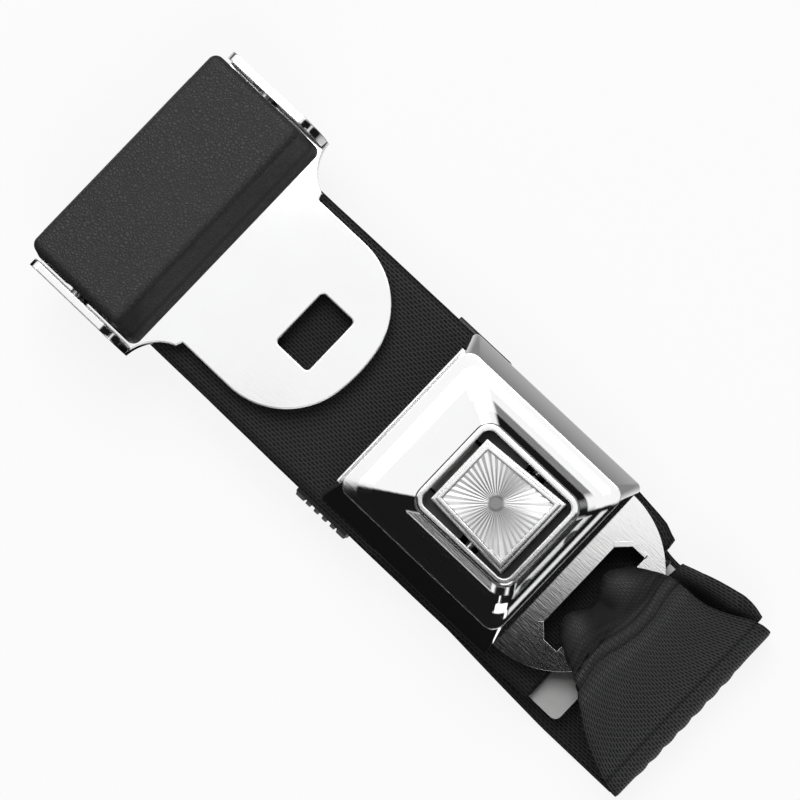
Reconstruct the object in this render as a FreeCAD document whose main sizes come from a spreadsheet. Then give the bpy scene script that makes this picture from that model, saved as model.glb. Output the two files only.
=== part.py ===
import FreeCAD, Part
import math
import os
from FreeCAD import Placement, Rotation, Vector

# A folded two-point lap belt: adjustable tongue half and push-button buckle half.
# Millimetres. +X runs along the belt from the adjuster to the end of the buckle strap,
# +Z is up, and the origin is on the surface it lies on, under the middle of the bundle.

doc = FreeCAD.newDocument("lap_belt")
sheet = doc.addObject("Spreadsheet::Sheet", "Sizes")

SIZES = [
    # Webbing
    ("webbing_width", 48.6, "width of the webbing"),
    ("webbing_thickness", 1.3, "thickness of the webbing"),
    ("webbing_side_shift", -1.5, "how far the folded webbing lies to one side of the hardware"),
    ("fold_gap", 0.2, "air between two layers of webbing"),
    ("fit_gap", 0.15, "air between webbing and the metal that it goes round"),
    ("bend_radius", 1.0, "middle-line radius of the webbing where it turns round a bar"),
    # Ends of the bundle
    ("rear_end", -84.5, "outer face of the fold behind the adjuster"),
    ("front_end", 84.5, "outer face of the fold of the buckle strap"),
    ("sewn_length", 13.8, "end of the buckle strap that is sewn down beyond its anchor plate"),
    ("layer_end", 57.2, "outer face of the folds under the buckle"),
    ("inner_fold_end", -37.0, "outer face of the fold under the tongue"),
    ("tail_end", 10.0, "free end of the tail"),
    # Anchor plates
    ("plate_thickness", 3.0, "anchor plate thickness"),
    ("plate_width", 40.4, "anchor plate width"),
    ("plate_side_shift", -4.2, "how far the anchor plates lie to one side of the hardware"),
    ("plate_length", 44.0, "anchor plate length"),
    ("plate_bar", 5.0, "width of the bar that the webbing goes round"),
    ("plate_slot", 5.5, "width of the slot for the webbing"),
    ("plate_slot_length", 34.0, "length of the slot for the webbing"),
    ("slot_corner", 0.8, "corner radius of the slot for the webbing"),
    ("plate_corner", 1.6, "corner radius of the square end of an anchor plate"),
    ("bolt_hole_radius", 5.75, "bolt hole radius"),
    ("bolt_hole_inset", 13.0, "bolt hole centre from the plate's far end"),
    ("tongue_anchor_edge", 20.7, "webbing end of the anchor plate of the tongue half"),
    ("buckle_anchor_edge", -13.5, "webbing end of the anchor plate of the buckle half"),
    # Keeper
    ("keeper_start", -7.9, "front face of the keeper"),
    ("keeper_length", 14.3, "length of the keeper along the webbing"),
    ("keeper_wall", 0.8, "wall of the keeper"),
    ("keeper_rib", 0.65, "how far a grip rib stands out"),
    ("keeper_ribs", 4, "number of grip ribs"),
    ("keeper_clearance", 0.15, "air between keeper and webbing"),
    ("keeper_travel", 3.0, "how far the keeper slides towards the buckle"),
    # Tongue plate
    ("tongue_tip", -14.4, "tip of the blade"),
    ("tongue_thickness", 2.2, "thickness of the tongue plate"),
    ("blade_half_width", 20.75, "half the width of the blade"),
    ("blade_corner_radius", 18.0, "radius at the sides of the blade's round end"),
    ("blade_nose_radius", 34.6, "radius at the middle of the blade's round end"),
    ("shoulder_inset", 32.4, "shoulder from the tip"),
    ("shoulder_step", 1.5, "step from blade to shoulder"),
    ("neck_radius", 9.6, "radius of the waisted neck"),
    ("neck_inset", 39.0, "wide end of the neck from the tip"),
    ("frame_half_width", 31.0, "half the width over the ears"),
    ("frame_rear", -80.4, "rear edge of the frame"),
    ("ear_thickness", 1.8, "thickness of an ear"),
    ("ear_height", 6.8, "height of an ear above the plate"),
    ("ear_elbow", 6.0, "radius of the ear's front corner"),
    ("ear_inset", 0.1, "front end of an ear from the frame's corner"),
    ("latch_window_inset", 8.2, "latch window from the tip"),
    ("latch_window_length", 9.3, "latch window along the belt"),
    ("latch_window_width", 14.5, "latch window across the belt"),
    ("latch_window_corner", 1.0, "corner radius of the latch window"),
    ("strap_window_length", 4.6, "adjuster window along the belt"),
    ("strap_window_width", 51.0, "adjuster window across the belt"),
    # Adjuster cover
    ("cap_rear", -83.0, "rear edge of the cap at its foot"),
    ("cap_length", 30.0, "length of the cap at its foot"),
    ("cap_height", 13.0, "height of the cap above the plate"),
    ("cap_side_gap", 0.6, "air between the cap's foot and an ear"),
    ("cap_front_draft", 3.5, "how far the front face leans back"),
    ("cap_rear_draft", 1.6, "how far the rear face leans in"),
    ("cap_side_draft", 0.7, "how far each side leans in"),
    ("cap_corner", 2.0, "corner radius in plan"),
    ("cap_edge", 2.0, "radius round the top face"),
    ("cap_wall", 1.8, "wall of the cap"),
    # Lock bar
    ("lock_bar_x", -69.0, "axis of the lock bar"),
    ("lock_bar_radius", 2.6, "outer radius of the knurled bar"),
    ("lock_bar_teeth", 22, "grip teeth round the bar"),
    ("lock_bar_tooth", 0.35, "depth of a grip tooth"),
    ("lock_bar_tang", 1.6, "radius of the bar's ends"),
    ("lock_bar_travel", 2.4, "how far the bar slides back"),
    ("lock_bar_lift", 0.3, "air under the bar"),
    ("slide_clearance", 0.1, "air round a sliding piece"),
    ("leaf_thickness", 0.4, "thickness of the leaf spring in the cap"),
    ("leaf_width", 26.0, "width of the leaf spring"),
    # Buckle base
    ("buckle_level", 13.9, "underside of the buckle's base"),
    ("buckle_side_shift", -0.5, "how far the buckle lies to one side"),
    ("base_thickness", 2.0, "thickness of the base"),
    ("base_front", -1.6, "front edge of the base"),
    ("base_half_width", 21.2, "half the width of the base"),
    ("tab_center", 44.7, "centre of the half-round tab"),
    ("tab_slot_front", 49.3, "front edge of the strap slot"),
    ("tab_slot_rear", 55.5, "edge of the strap slot that the strap bears on"),
    ("tab_slot_front_half", 10.5, "half the slot's width at its front edge"),
    ("tab_slot_rear_half", 13.25, "half the slot's width at its rear edge"),
    ("tab_lip_height", 1.6, "height of the bent lips beside the slot"),
    ("rail_front", 21.0, "front end of the side rails"),
    ("rail_rear", 40.0, "rear end of the side rails"),
    ("rail_inner", 13.2, "inner face of a side rail from the middle"),
    ("rail_thickness", 1.6, "thickness of a side rail"),
    ("rail_height", 6.5, "height of a side rail above the base"),
    # Buckle cover
    ("cover_front", -3.1, "front edge of the cover"),
    ("cover_rear", 45.0, "rear edge of the cover"),
    ("cover_base_gap", 1.7, "air between the base's edge and the cover's wall"),
    ("cover_wall", 0.9, "wall of the cover"),
    ("ridge_height", 9.0, "ridge of the cover above its foot"),
    ("ridge_front_inset", 2.6, "ridge in from the front edge"),
    ("ridge_rear_inset", 0.6, "ridge in from the rear edge"),
    ("ridge_side_inset", 4.0, "ridge in from the side edge"),
    ("ridge_corner", 3.0, "corner radius of the ridge in plan"),
    ("ring_front", 13.0, "front of the ring round the button"),
    ("ring_rear", 40.6, "rear of the ring round the button"),
    ("ring_half_width", 12.1, "half the width of the ring"),
    ("ring_wall", 1.6, "wall of the ring"),
    ("ring_corner", 3.6, "corner radius of the ring"),
    ("ring_foot", 12.4, "foot of the ring above the cover's foot"),
    ("ring_top", 14.4, "top of the ring above the cover's foot"),
    ("facet_steps", 5, "flat bands that make up a concave facet"),
    ("facet_sag", 1.0, "how far the facets dip between ridge and ring"),
    ("mouth_height", 4.4, "height of the mouth"),
    ("mouth_gap", 0.15, "air between the mouth and the blade on each side"),
    ("mouth_lip", 0.55, "radius of the rolled lip over the mouth"),
    # Push button
    ("button_front_gap", 1.6, "channel between ring and button at the front"),
    ("button_rear_gap", 1.8, "channel between ring and button at the rear"),
    ("button_side_gap", 0.8, "channel between ring and button at the rear corners"),
    ("button_taper", 1.3, "how much narrower the button is at its front, on each side"),
    ("frame_foot", 13.2, "foot of the button's bright frame above the cover's foot"),
    ("button_top", 15.3, "top of the button above the cover's foot"),
    ("button_step", 0.75, "width and height of the step round the button"),
    ("button_rim", 1.7, "rim of the button round its insert"),
    ("button_wall", 1.2, "wall of the button"),
    ("button_skirt", 9.1, "foot of the button's skirt above the cover's foot"),
    ("button_flange", 1.0, "thickness of the flange that holds the button in"),
    ("button_travel", 2.2, "travel of the button"),
    ("insert_thickness", 1.0, "thickness of the insert at its ridges"),
    ("insert_flute", 0.32, "depth of a flute at the insert's edge"),
    ("insert_flutes", 44, "number of flutes"),
    ("insert_disc", 1.25, "radius of the plain disc in the middle"),
    # Latch
    ("pivot_x", 28.0, "axis of the latch"),
    ("pivot_height", 4.5, "axis of the latch above the base"),
    ("pin_radius", 1.2, "radius of the latch pin"),
    ("pin_clearance", 0.05, "air round the latch pin"),
    ("barrel_radius", 2.3, "radius of the latch's barrel"),
    ("latch_side_gap", 0.75, "air between the latch's tooth and the window on each side"),
    ("latch_thickness", 1.8, "thickness of the latch's rear arm"),
    ("latch_arm_drop", 2.5, "foot of the front arm above the base"),
    ("latch_arm_thickness", 1.2, "thickness of the latch's front arm"),
    ("tooth_front", 8.0, "front face of the tooth"),
    ("tooth_length", 3.5, "length of the tooth along the belt"),
    ("tooth_gap", 0.25, "air under the tooth"),
    ("latch_rear", 39.4, "rear end of the latch"),
    ("foot_gap", 1.1, "free play between button and latch"),
    # Ejector
    ("ejector_front", 12.2, "front face of the ejector"),
    ("ejector_length", 4.2, "length of the ejector"),
    ("ejector_half_width", 10.0, "half the width of the ejector"),
    ("ejector_height", 1.9, "height of the ejector"),
    ("ejector_travel", 7.6, "travel of the ejector"),
    ("ejector_stem_half", 1.0, "half the width of the ejector's stem"),
    ("spring_wire", 0.25, "wire radius of the springs"),
    ("button_spring_radius", 1.5, "middle radius of a button spring"),
    ("button_spring_turns", 5, "turns of a button spring"),
    ("rivet_radius", 1.2, "radius of a cover rivet"),
    ("rivet_head", 2.1, "radius of a rivet's head"),
]

sheet.set("A1", "Size")
sheet.set("B1", "Value in mm")
sheet.set("C1", "Meaning")
for row, (alias, value, meaning) in enumerate(SIZES, start=2):
    sheet.set("A%d" % row, alias)
    sheet.set("B%d" % row, str(value))
    sheet.set("C%d" % row, meaning)
    sheet.setAlias("B%d" % row, alias)
doc.recompute()


def size(alias):
    return float(sheet.get(alias))


# Levels of the layers, from the floor up
strap = size("webbing_thickness")
gap = size("fold_gap")
fit = size("fit_gap")
plate = size("plate_thickness")
half_strap = strap / 2
pitch = strap + gap

level_floor_run = half_strap
level_second_run = level_floor_run + pitch
level_buckle_plate = strap + fit
level_tongue_plate = 2 * strap + gap + fit
level_over_buckle_plate = level_buckle_plate + plate + fit + half_strap
level_over_tongue_plate = level_tongue_plate + plate + fit + half_strap
level_return_run = level_over_tongue_plate + pitch
level_tail = level_return_run + pitch
keeper_floor = level_return_run - half_strap - size("keeper_clearance") - size("keeper_wall")
keeper_roof = level_tail + half_strap + size("keeper_clearance")
level_top_run_west = keeper_roof + size("keeper_wall") + fit + half_strap
level_top_run_east = level_return_run + pitch
level_under_frame = level_top_run_west + pitch
deck = level_under_frame + half_strap + gap
deck_top = deck + size("tongue_thickness")
lock_bar_z = deck_top + size("lock_bar_lift") + size("lock_bar_radius")
lock_bar_wrap = size("lock_bar_radius") + size("slide_clearance") + half_strap
level_over_bar = lock_bar_z + lock_bar_wrap

# Buckle levels
base_foot = size("buckle_level")
base_top = base_foot + size("base_thickness")
ridge_z = base_foot + size("ridge_height")
ring_foot_z = base_foot + size("ring_foot")
ring_top_z = base_foot + size("ring_top")
pivot_z = base_top + size("pivot_height")
slot_wrap_x = size("tab_slot_rear") - fit - half_strap
button_front = size("ring_front") + size("ring_wall") + size("button_front_gap")
button_rear = size("ring_rear") - size("ring_wall") - size("button_rear_gap")
button_rear_half = size("ring_half_width") - size("ring_wall") - size("button_side_gap")
button_front_half = button_rear_half - size("button_taper")
latch_half = size("latch_window_width") / 2 - size("latch_side_gap")

WEST, EAST = -1, 1


def edge_line(start, end):
    return Part.LineSegment(start, end).toShape()


def edge_arc(start, middle, end):
    return Part.Arc(start, middle, end).toShape()


def ribbon(route, thickness, width, side_shift):
    """A strap as one solid: straight runs joined by tangent arcs, as thick as the webbing.

    route lists (x, z, radius) along the middle line; the radius is the bend's at that corner.
    """
    points = [Vector(x, 0, z) for x, z, radius in route]
    half = thickness / 2
    edges = []
    for side in (half, -half):
        run_start = None
        for index in range(len(points) - 1):
            along = (points[index + 1] - points[index]).normalize()
            left = Vector(-along.z, 0, along.x)
            if run_start is None:
                run_start = points[index] + left * side
            if index + 1 == len(points) - 1:
                edges.append(edge_line(run_start, points[index + 1] + left * side))
                break
            onward = (points[index + 2] - points[index + 1]).normalize()
            radius = route[index + 1][2]
            turn = along.getAngle(onward)
            reach = radius * math.tan(turn / 2)
            bend_start = points[index + 1] - along * reach
            bend_end = points[index + 1] + onward * reach
            toward = 1 if along.x * onward.z - along.z * onward.x > 0 else -1
            center = bend_start + left * (toward * radius)
            bend = radius - toward * side
            crest = (along - onward).normalize()
            start = center + (bend_start - center) * (bend / radius)
            end = center + (bend_end - center) * (bend / radius)
            if (start - run_start).Length > 1e-4:
                edges.append(edge_line(run_start, start))
            edges.append(edge_arc(start, center + crest * bend, end))
            run_start = end
    for index, other in ((0, 1), (-1, -2)):
        along = (points[other] - points[index]).normalize()
        left = Vector(-along.z, 0, along.x)
        edges.append(edge_line(points[index] + left * half, points[index] - left * half))
    wire = Part.Wire(Part.__sortEdges__(edges))
    face = Part.Face(wire)
    face.translate(Vector(0, side_shift - width / 2, 0))
    return face.extrude(Vector(0, width, 0))


def box(x0, x1, y0, y1, z0, z1):
    return Part.makeBox(x1 - x0, y1 - y0, z1 - z0, Vector(x0, y0, z0))


def rounded_rectangle(x0, x1, y0, y1, radius, z):
    """Wire of a rectangle with round corners, anticlockwise from the right-hand side."""
    c = radius * (1 - math.sqrt(0.5))
    corners = [
        (Vector(x1, y1 - radius, z), Vector(x1 - c, y1 - c, z), Vector(x1 - radius, y1, z)),
        (Vector(x0 + radius, y1, z), Vector(x0 + c, y1 - c, z), Vector(x0, y1 - radius, z)),
        (Vector(x0, y0 + radius, z), Vector(x0 + c, y0 + c, z), Vector(x0 + radius, y0, z)),
        (Vector(x1 - radius, y0, z), Vector(x1 - c, y0 + c, z), Vector(x1, y0 + radius, z)),
    ]
    edges = []
    for index, corner in enumerate(corners):
        following = corners[(index + 1) % 4]
        edges.append(edge_arc(*corner))
        edges.append(edge_line(corner[2], following[0]))
    return Part.Wire(edges)


def prism(points, z0, z1):
    """Straight-sided solid over a plan polygon."""
    corners = [Vector(x, y, z0) for x, y in points]
    face = Part.Face(Part.makePolygon(corners + corners[:1]))
    return face.extrude(Vector(0, 0, z1 - z0))


def feature(name, shape, placement=None):
    """A sub-part whose form comes from code: strap, loft or coil."""
    item = doc.addObject("Part::Feature", name)
    item.Label = name
    item.Shape = shape
    item.Placement = (placement or Placement()).multiply(shape.Placement)
    return item


def new_body(name, shift_y="0 mm"):
    body = doc.addObject("PartDesign::Body", name)
    body.Label = name
    body.setExpression("Placement.Base.y", shift_y)
    return body


def sketch(body, name, role, offset="0 mm"):
    """Sketch on one of the body's own planes, moved along the plane's normal."""
    item = body.newObject("Sketcher::SketchObject", name)
    plane_feature = [f for f in body.Origin.OriginFeatures if f.Role == role][0]
    item.AttachmentSupport = (plane_feature, "")
    item.MapMode = "FlatFace"
    item.setExpression("AttachmentOffset.Base.z", offset)
    return item


def draw(item, geometry):
    item.addGeometry(geometry, False)


def draw_polygon(item, points):
    """Closed outline of straight lines in the sketch's own plane."""
    corners = [Vector(x, y, 0) for x, y in points]
    draw(item, [Part.LineSegment(a, b) for a, b in zip(corners, corners[1:] + corners[:1])])


def draw_rounded(item, x0, x1, y0, y1, radius):
    wire = rounded_rectangle(x0, x1, y0, y1, radius, 0)
    for edge in wire.Edges:
        curve = edge.Curve
        first, last = edge.FirstParameter, edge.LastParameter
        if isinstance(curve, Part.Circle):
            draw(item, [Part.ArcOfCircle(curve, first, last)])
        else:
            draw(item, [Part.LineSegment(edge.valueAt(first), edge.valueAt(last))])


def pad(body, name, profile, length, reverse=False):
    item = body.newObject("PartDesign::Pad", name)
    item.Profile = profile
    item.setExpression("Length", length)
    item.Reversed = reverse
    doc.recompute()
    return item


def pocket(body, name, profile, length, reverse=False):
    """Pocket that has to take material away."""
    before = body.Shape.Volume
    item = body.newObject("PartDesign::Pocket", name)
    item.Profile = profile
    item.setExpression("Length", length)
    item.Reversed = reverse
    doc.recompute()
    if body.Shape.Volume >= before - 1e-6:
        raise RuntimeError("pocket cuts nothing: " + name)
    return item


# Webbing of the tongue half: one strap from its anchor plate, folded back and forth,
# round the lock bar and back out to the tail


def tongue_strap():
    turn = pitch / 2
    slope_room = pitch
    wrap_x = size("tongue_anchor_edge") + size("plate_bar") + fit + half_strap
    east = size("layer_end") - half_strap
    west = size("inner_fold_end") + half_strap
    rear = size("rear_end") + half_strap
    inner_rear = rear + lock_bar_wrap * 2 + strap
    bar_x = size("lock_bar_x") + lock_bar_wrap
    bend = size("bend_radius")
    keeper_end = size("keeper_start") + size("keeper_length") + size("keeper_travel")
    step_down = max(keeper_end, size("tail_end")) + slope_room
    slope = bend * 4
    tail_bend = (level_over_bar - level_tail) / 2
    bar_end = size("buckle_anchor_edge")
    sewn_end = bar_end + size("sewn_length")
    return [
        (wrap_x - plate * 4, level_over_tongue_plate, 0),
        (wrap_x, level_over_tongue_plate, bend),
        (wrap_x, level_second_run, bend),
        (sewn_end + pitch * 2.7, level_second_run, slope / 2),
        (sewn_end + pitch * 0.8, level_second_run + pitch, slope / 2),
        (sewn_end - pitch * 3.7, level_second_run + pitch, slope),
        (bar_end + pitch * 1.7, level_over_tongue_plate, slope),
        (west, level_over_tongue_plate, turn),
        (west, level_return_run, turn),
        (east, level_return_run, turn),
        (east, level_top_run_east, turn),
        (step_down + plate * 2.6, level_top_run_east, slope),
        (step_down, level_top_run_west, slope),
        (inner_rear, level_top_run_west, turn),
        (inner_rear, level_under_frame, turn),
        (bar_x, level_under_frame, bend),
        (bar_x, level_over_bar, lock_bar_wrap),
        (rear, level_over_bar, tail_bend),
        (rear, level_tail, tail_bend),
        (size("tail_end"), level_tail, 0),
    ]


def loop_cheeks(plate_start, plate_end, z0, z1):
    """The space beside a loop that is gathered to go through an anchor plate's slot."""
    half_loop = size("plate_slot_length") / 2 - size("slot_corner") - fit
    half_width = size("webbing_width")
    shift = size("plate_side_shift")
    return [
        box(plate_start, plate_end, shift + half_loop, shift + half_width, z0, z1),
        box(plate_start, plate_end, shift - half_width, shift - half_loop, z0, z1),
    ]


def make_tongue_webbing():
    solid = ribbon(tongue_strap(), strap, size("webbing_width"), size("webbing_side_shift"))
    start = size("tongue_anchor_edge") - fit * 4
    end = start + size("plate_bar") + size("plate_slot") + fit * 4
    for cheek in loop_cheeks(start, end, strap + gap / 2, level_return_run - half_strap - gap / 2):
        solid = solid.cut(cheek)
    return feature("tongue_webbing", solid.removeSplitter())


def buckle_strap_route():
    bend = size("bend_radius")
    slope = bend * 4
    bar_end = size("buckle_anchor_edge")
    wrap_x = bar_end - size("plate_bar") - fit - half_strap
    crest_x = size("front_end") - half_strap
    upper = base_top + fit * 2 + half_strap
    lower = base_foot - size("bend_radius") - half_strap
    tab_end = size("tab_center") + size("base_half_width")
    return [
        (bar_end + size("sewn_length"), level_second_run, 0),
        (bar_end + size("plate_bar") + pitch * 1.2, level_second_run, slope),
        (bar_end + pitch * 0.8, level_over_buckle_plate, slope),
        (wrap_x, level_over_buckle_plate, bend),
        (wrap_x, level_floor_run, bend),
        (crest_x, level_floor_run, plate * 1.3),
        (crest_x, base_foot * 0.6, plate * 1.3),
        (tab_end + fit * 8, upper, slope),
        (slot_wrap_x, upper, bend),
        (slot_wrap_x, lower, bend),
        (size("tab_slot_rear") + plate * 0.8, lower, slope),
        (tab_end + plate * 1.8, base_foot * 0.54, slope),
        (crest_x - plate * 2.4, base_foot * 0.4, 0),
    ]


def fan_outline(side):
    """The space beside the fanned strap, on one side: narrow at the slot, full width at the fold."""
    shift = size("webbing_side_shift")
    full = size("webbing_width") / 2
    slot_half = size("tab_slot_rear_half") - fit * 5
    slot_x = size("tab_slot_rear")
    span = size("front_end") - slot_x - strap * 3
    edge = [(0.0, 0.0), (0.25, 0.22), (0.5, 0.45), (0.78, 0.74), (1.0, 1.0)]
    outer = full * 2
    points = [(slot_x - span, side * outer), (slot_x - span, side * slot_half)]
    for along, spread in edge:
        reach = slot_half + (full - slot_half) * spread
        points.append((slot_x + along * span, side * reach + shift * spread))
    points.append((slot_x + span, side * outer))
    return points


def make_buckle_strap():
    width = size("webbing_width")
    solid = ribbon(buckle_strap_route(), strap, width, size("webbing_side_shift"))
    for side in (1, -1):
        solid = solid.cut(prism(fan_outline(side), strap + gap, ring_top_z + plate))
    start = size("buckle_anchor_edge") - size("plate_bar") - size("plate_slot") + fit
    end = size("buckle_anchor_edge") + fit * 4
    for cheek in loop_cheeks(start, end, -gap, level_over_buckle_plate + half_strap + gap):
        solid = solid.cut(cheek)
    return feature("buckle_strap", solid.removeSplitter())


# Anchor plates: flat steel, one square end, a slot for the webbing and a bolt hole


def make_anchor_plate(name, edge, toward, level):
    """edge is the end at the webbing, and toward the way from the far end to it: WEST or EAST."""
    body = new_body(name)
    far_end = edge - toward * size("plate_length")
    start, end = sorted((far_end, edge))
    shift = size("plate_side_shift")
    half = size("plate_width") / 2
    outline = sketch(body, name + "_outline", "XY_Plane", "%f mm" % level)
    draw_rounded(outline, start, end, shift - half, shift + half, size("plate_corner"))
    pad(body, name + "_sheet", outline, "Sizes.plate_thickness")
    bar_edge = edge - toward * size("plate_bar")
    slot_edge = bar_edge - toward * size("plate_slot")
    slot_start, slot_end = sorted((bar_edge, slot_edge))
    slot_half = size("plate_slot_length") / 2
    cut = sketch(body, name + "_slot_outline", "XY_Plane", "%f mm" % level)
    draw_rounded(cut, slot_start, slot_end, shift - slot_half, shift + slot_half, size("slot_corner"))
    hole_x = far_end + toward * size("bolt_hole_inset")
    draw(cut, [Part.Circle(Vector(hole_x, shift, 0), Vector(0, 0, 1), size("bolt_hole_radius"))])
    pocket(body, name + "_slot_and_hole", cut, "Sizes.plate_thickness", True)
    return body


# Keeper: a ribbed loop that holds the tail against the strap


def make_keeper():
    body = new_body("webbing_keeper")
    shift = size("webbing_side_shift")
    inner_half = size("webbing_width") / 2 + size("keeper_clearance")
    wall = size("keeper_wall")
    outer_half = inner_half + wall
    start = size("keeper_start")
    bottom, top = keeper_floor, keeper_roof + wall
    ring = sketch(body, "keeper_ring", "YZ_Plane", "Sizes.keeper_start")
    draw_rounded(ring, shift - outer_half, shift + outer_half, bottom, top, wall)
    draw_rounded(ring, shift - inner_half, shift + inner_half, bottom + wall, keeper_roof, wall / 3)
    pad(body, "keeper_loop", ring, "Sizes.keeper_length")
    rib = size("keeper_rib")
    count = int(size("keeper_ribs")) + 2
    rib_pitch = (size("keeper_length") - rib * 4) / (count - 1)
    root = shift - outer_half + wall / 2
    outer = shift - outer_half - rib
    for index in range(count):
        middle = start + rib * 2 + index * rib_pitch
        width = rib * 2 if index in (0, count - 1) else rib * 0.85
        profile = sketch(body, "rib_%d" % index, "XY_Plane", "%f mm" % (bottom + wall / 2))
        draw_polygon(profile, [(middle - width, root), (middle + width, root),
                               (middle + width * 0.6, outer), (middle - width * 0.6, outer)])
        pad(body, profile.Name + "_pad", profile, "%f mm" % (top - bottom - wall))
    return body


# Tongue plate: blade, waisted neck and a frame with two upturned ears


def tongue_half_outline():
    """Edges of the +Y half of the plate, from its rear corner to the tip."""
    tip = size("tongue_tip")
    half = size("blade_half_width")
    corner = size("blade_corner_radius")
    nose = size("blade_nose_radius")
    frame_half = size("frame_half_width")
    shoulder_x = tip - size("shoulder_inset")
    shoulder_y = half + size("shoulder_step")
    neck_x = tip - size("neck_inset")
    corner_y = half - corner
    nose_x = tip - nose
    corner_x = nose_x + math.sqrt((nose - corner) ** 2 - corner_y ** 2)
    away = Vector(corner_x - nose_x, corner_y, 0).normalize()
    meet = Vector(nose_x, 0, 0) + away * nose
    corner_center = Vector(corner_x, corner_y, 0)
    crest = (Vector(0, 1, 0) + away).normalize()
    rim = size("ear_thickness")
    rear = size("frame_rear")
    wide = Vector(neck_x, frame_half, 0)
    waist = Vector(shoulder_x, shoulder_y, 0)
    chord = waist - wide
    bulge = Vector(-chord.y, chord.x, 0).normalize() * (-chord.Length ** 2 / (8 * size("neck_radius")))
    return [
        Part.LineSegment(Vector(rear, 0, 0), Vector(rear, frame_half - rim, 0)),
        Part.LineSegment(Vector(rear, frame_half - rim, 0), Vector(rear + rim, frame_half, 0)),
        Part.LineSegment(Vector(rear + rim, frame_half, 0), wide),
        Part.Arc(wide, wide + chord / 2 + bulge, waist),
        Part.LineSegment(waist, Vector(shoulder_x + rim / 3, half, 0)),
        Part.LineSegment(Vector(shoulder_x + rim / 3, half, 0), Vector(corner_x, half, 0)),
        Part.Arc(Vector(corner_x, half, 0), corner_center + crest * corner, meet),
        Part.Arc(meet, Vector(nose_x, 0, 0) + (away + Vector(1, 0, 0)).normalize() * nose,
                 Vector(tip, 0, 0)),
    ]


def mirrored(geometry):
    result = []
    for item in geometry:
        ends = [Vector(p.x, -p.y, 0) for p in (item.StartPoint, item.EndPoint)]
        if isinstance(item, Part.LineSegment):
            result.append(Part.LineSegment(ends[0], ends[1]))
        else:
            middle = item.value((item.FirstParameter + item.LastParameter) / 2)
            result.append(Part.Arc(ends[0], Vector(middle.x, -middle.y, 0), ends[1]))
    return result


def make_tongue_plate():
    body = new_body("tongue_plate")
    outline = sketch(body, "tongue_outline", "XY_Plane", "%f mm" % deck)
    half = []
    for item in tongue_half_outline():
        if isinstance(item, Part.Arc):
            item = item.toShape().Curve.trim(*item.toShape().ParameterRange)
        half.append(item)
    draw(outline, half)
    draw(outline, mirrored(half))
    pad(body, "tongue_sheet", outline, "Sizes.tongue_thickness")
    ear_top = deck_top + size("ear_height")
    front = size("tongue_tip") - size("neck_inset") - size("ear_inset")
    elbow = size("ear_elbow")
    rear = size("frame_rear")
    for name, offset in (("left", "-Sizes.frame_half_width"),
                         ("right", "Sizes.frame_half_width - Sizes.ear_thickness")):
        ear = sketch(body, "ear_" + name, "XZ_Plane", offset)
        flat_end = front - elbow
        knee = Vector(flat_end, ear_top - elbow, 0) + Vector(1, 1, 0) * (elbow * math.sqrt(0.5))
        rear_curve = elbow / 3
        rear_knee = Vector(rear + rear_curve, ear_top - rear_curve, 0)
        rear_knee += Vector(-1, 1, 0) * (rear_curve * math.sqrt(0.5))
        draw(ear, [
            Part.LineSegment(Vector(rear, deck, 0), Vector(rear, ear_top - rear_curve, 0)),
            Part.Arc(Vector(rear, ear_top - rear_curve, 0), rear_knee,
                     Vector(rear + rear_curve, ear_top, 0)),
            Part.LineSegment(Vector(rear + rear_curve, ear_top, 0), Vector(flat_end, ear_top, 0)),
            Part.Arc(Vector(flat_end, ear_top, 0), knee, Vector(front, ear_top - elbow, 0)),
            Part.LineSegment(Vector(front, ear_top - elbow, 0), Vector(front, deck, 0)),
            Part.LineSegment(Vector(front, deck, 0), Vector(rear, deck, 0)),
        ])
        pad(body, "ear_%s_sheet" % name, ear, "Sizes.ear_thickness", False)
    tip = size("tongue_tip")
    windows = sketch(body, "windows", "XY_Plane", "%f mm" % deck)
    window_end = tip - size("latch_window_inset")
    window_half = size("latch_window_width") / 2
    draw_rounded(windows, window_end - size("latch_window_length"), window_end,
                 -window_half, window_half, size("latch_window_corner"))
    strap_x = size("lock_bar_x") + lock_bar_wrap
    strap_half = size("strap_window_length") / 2
    strap_side = size("strap_window_width") / 2
    shift = size("webbing_side_shift")
    draw_rounded(windows, strap_x - strap_half, strap_x + strap_half,
                 shift - strap_side, shift + strap_side, strap_half / 2)
    pocket(body, "window_cuts", windows, "Sizes.tongue_thickness", True)
    slots = sketch(body, "bar_slots", "XZ_Plane", "-Sizes.frame_half_width")
    reach = size("lock_bar_tang") + size("slide_clearance")
    bar_x = size("lock_bar_x")
    back = bar_x - size("lock_bar_travel")
    draw(slots, [
        Part.Arc(Vector(bar_x, lock_bar_z - reach, 0), Vector(bar_x + reach, lock_bar_z, 0),
                 Vector(bar_x, lock_bar_z + reach, 0)),
        Part.LineSegment(Vector(bar_x, lock_bar_z + reach, 0), Vector(back, lock_bar_z + reach, 0)),
        Part.Arc(Vector(back, lock_bar_z + reach, 0), Vector(back - reach, lock_bar_z, 0),
                 Vector(back, lock_bar_z - reach, 0)),
        Part.LineSegment(Vector(back, lock_bar_z - reach, 0), Vector(bar_x, lock_bar_z - reach, 0)),
    ])
    pocket(body, "bar_slot_cuts", slots, "2 * Sizes.frame_half_width", True)
    return body


# Adjuster cover: a drafted cap with a soft top edge, hollow over the lock bar


def leaning_block(x0, x1, half, drafts, z0, z1):
    """Block on a rectangle, whose rear, front and side faces lean in by the drafts."""
    rear_draft, front_draft, side_draft = drafts
    narrower = half - side_draft
    block = Part.makeWedge(x0, z0, -half, -narrower, x0 + rear_draft, x1, z1, half, narrower, x1 - front_draft)
    block.rotate(Vector(0, 0, 0), Vector(1, 0, 0), 90)
    return block


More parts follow.
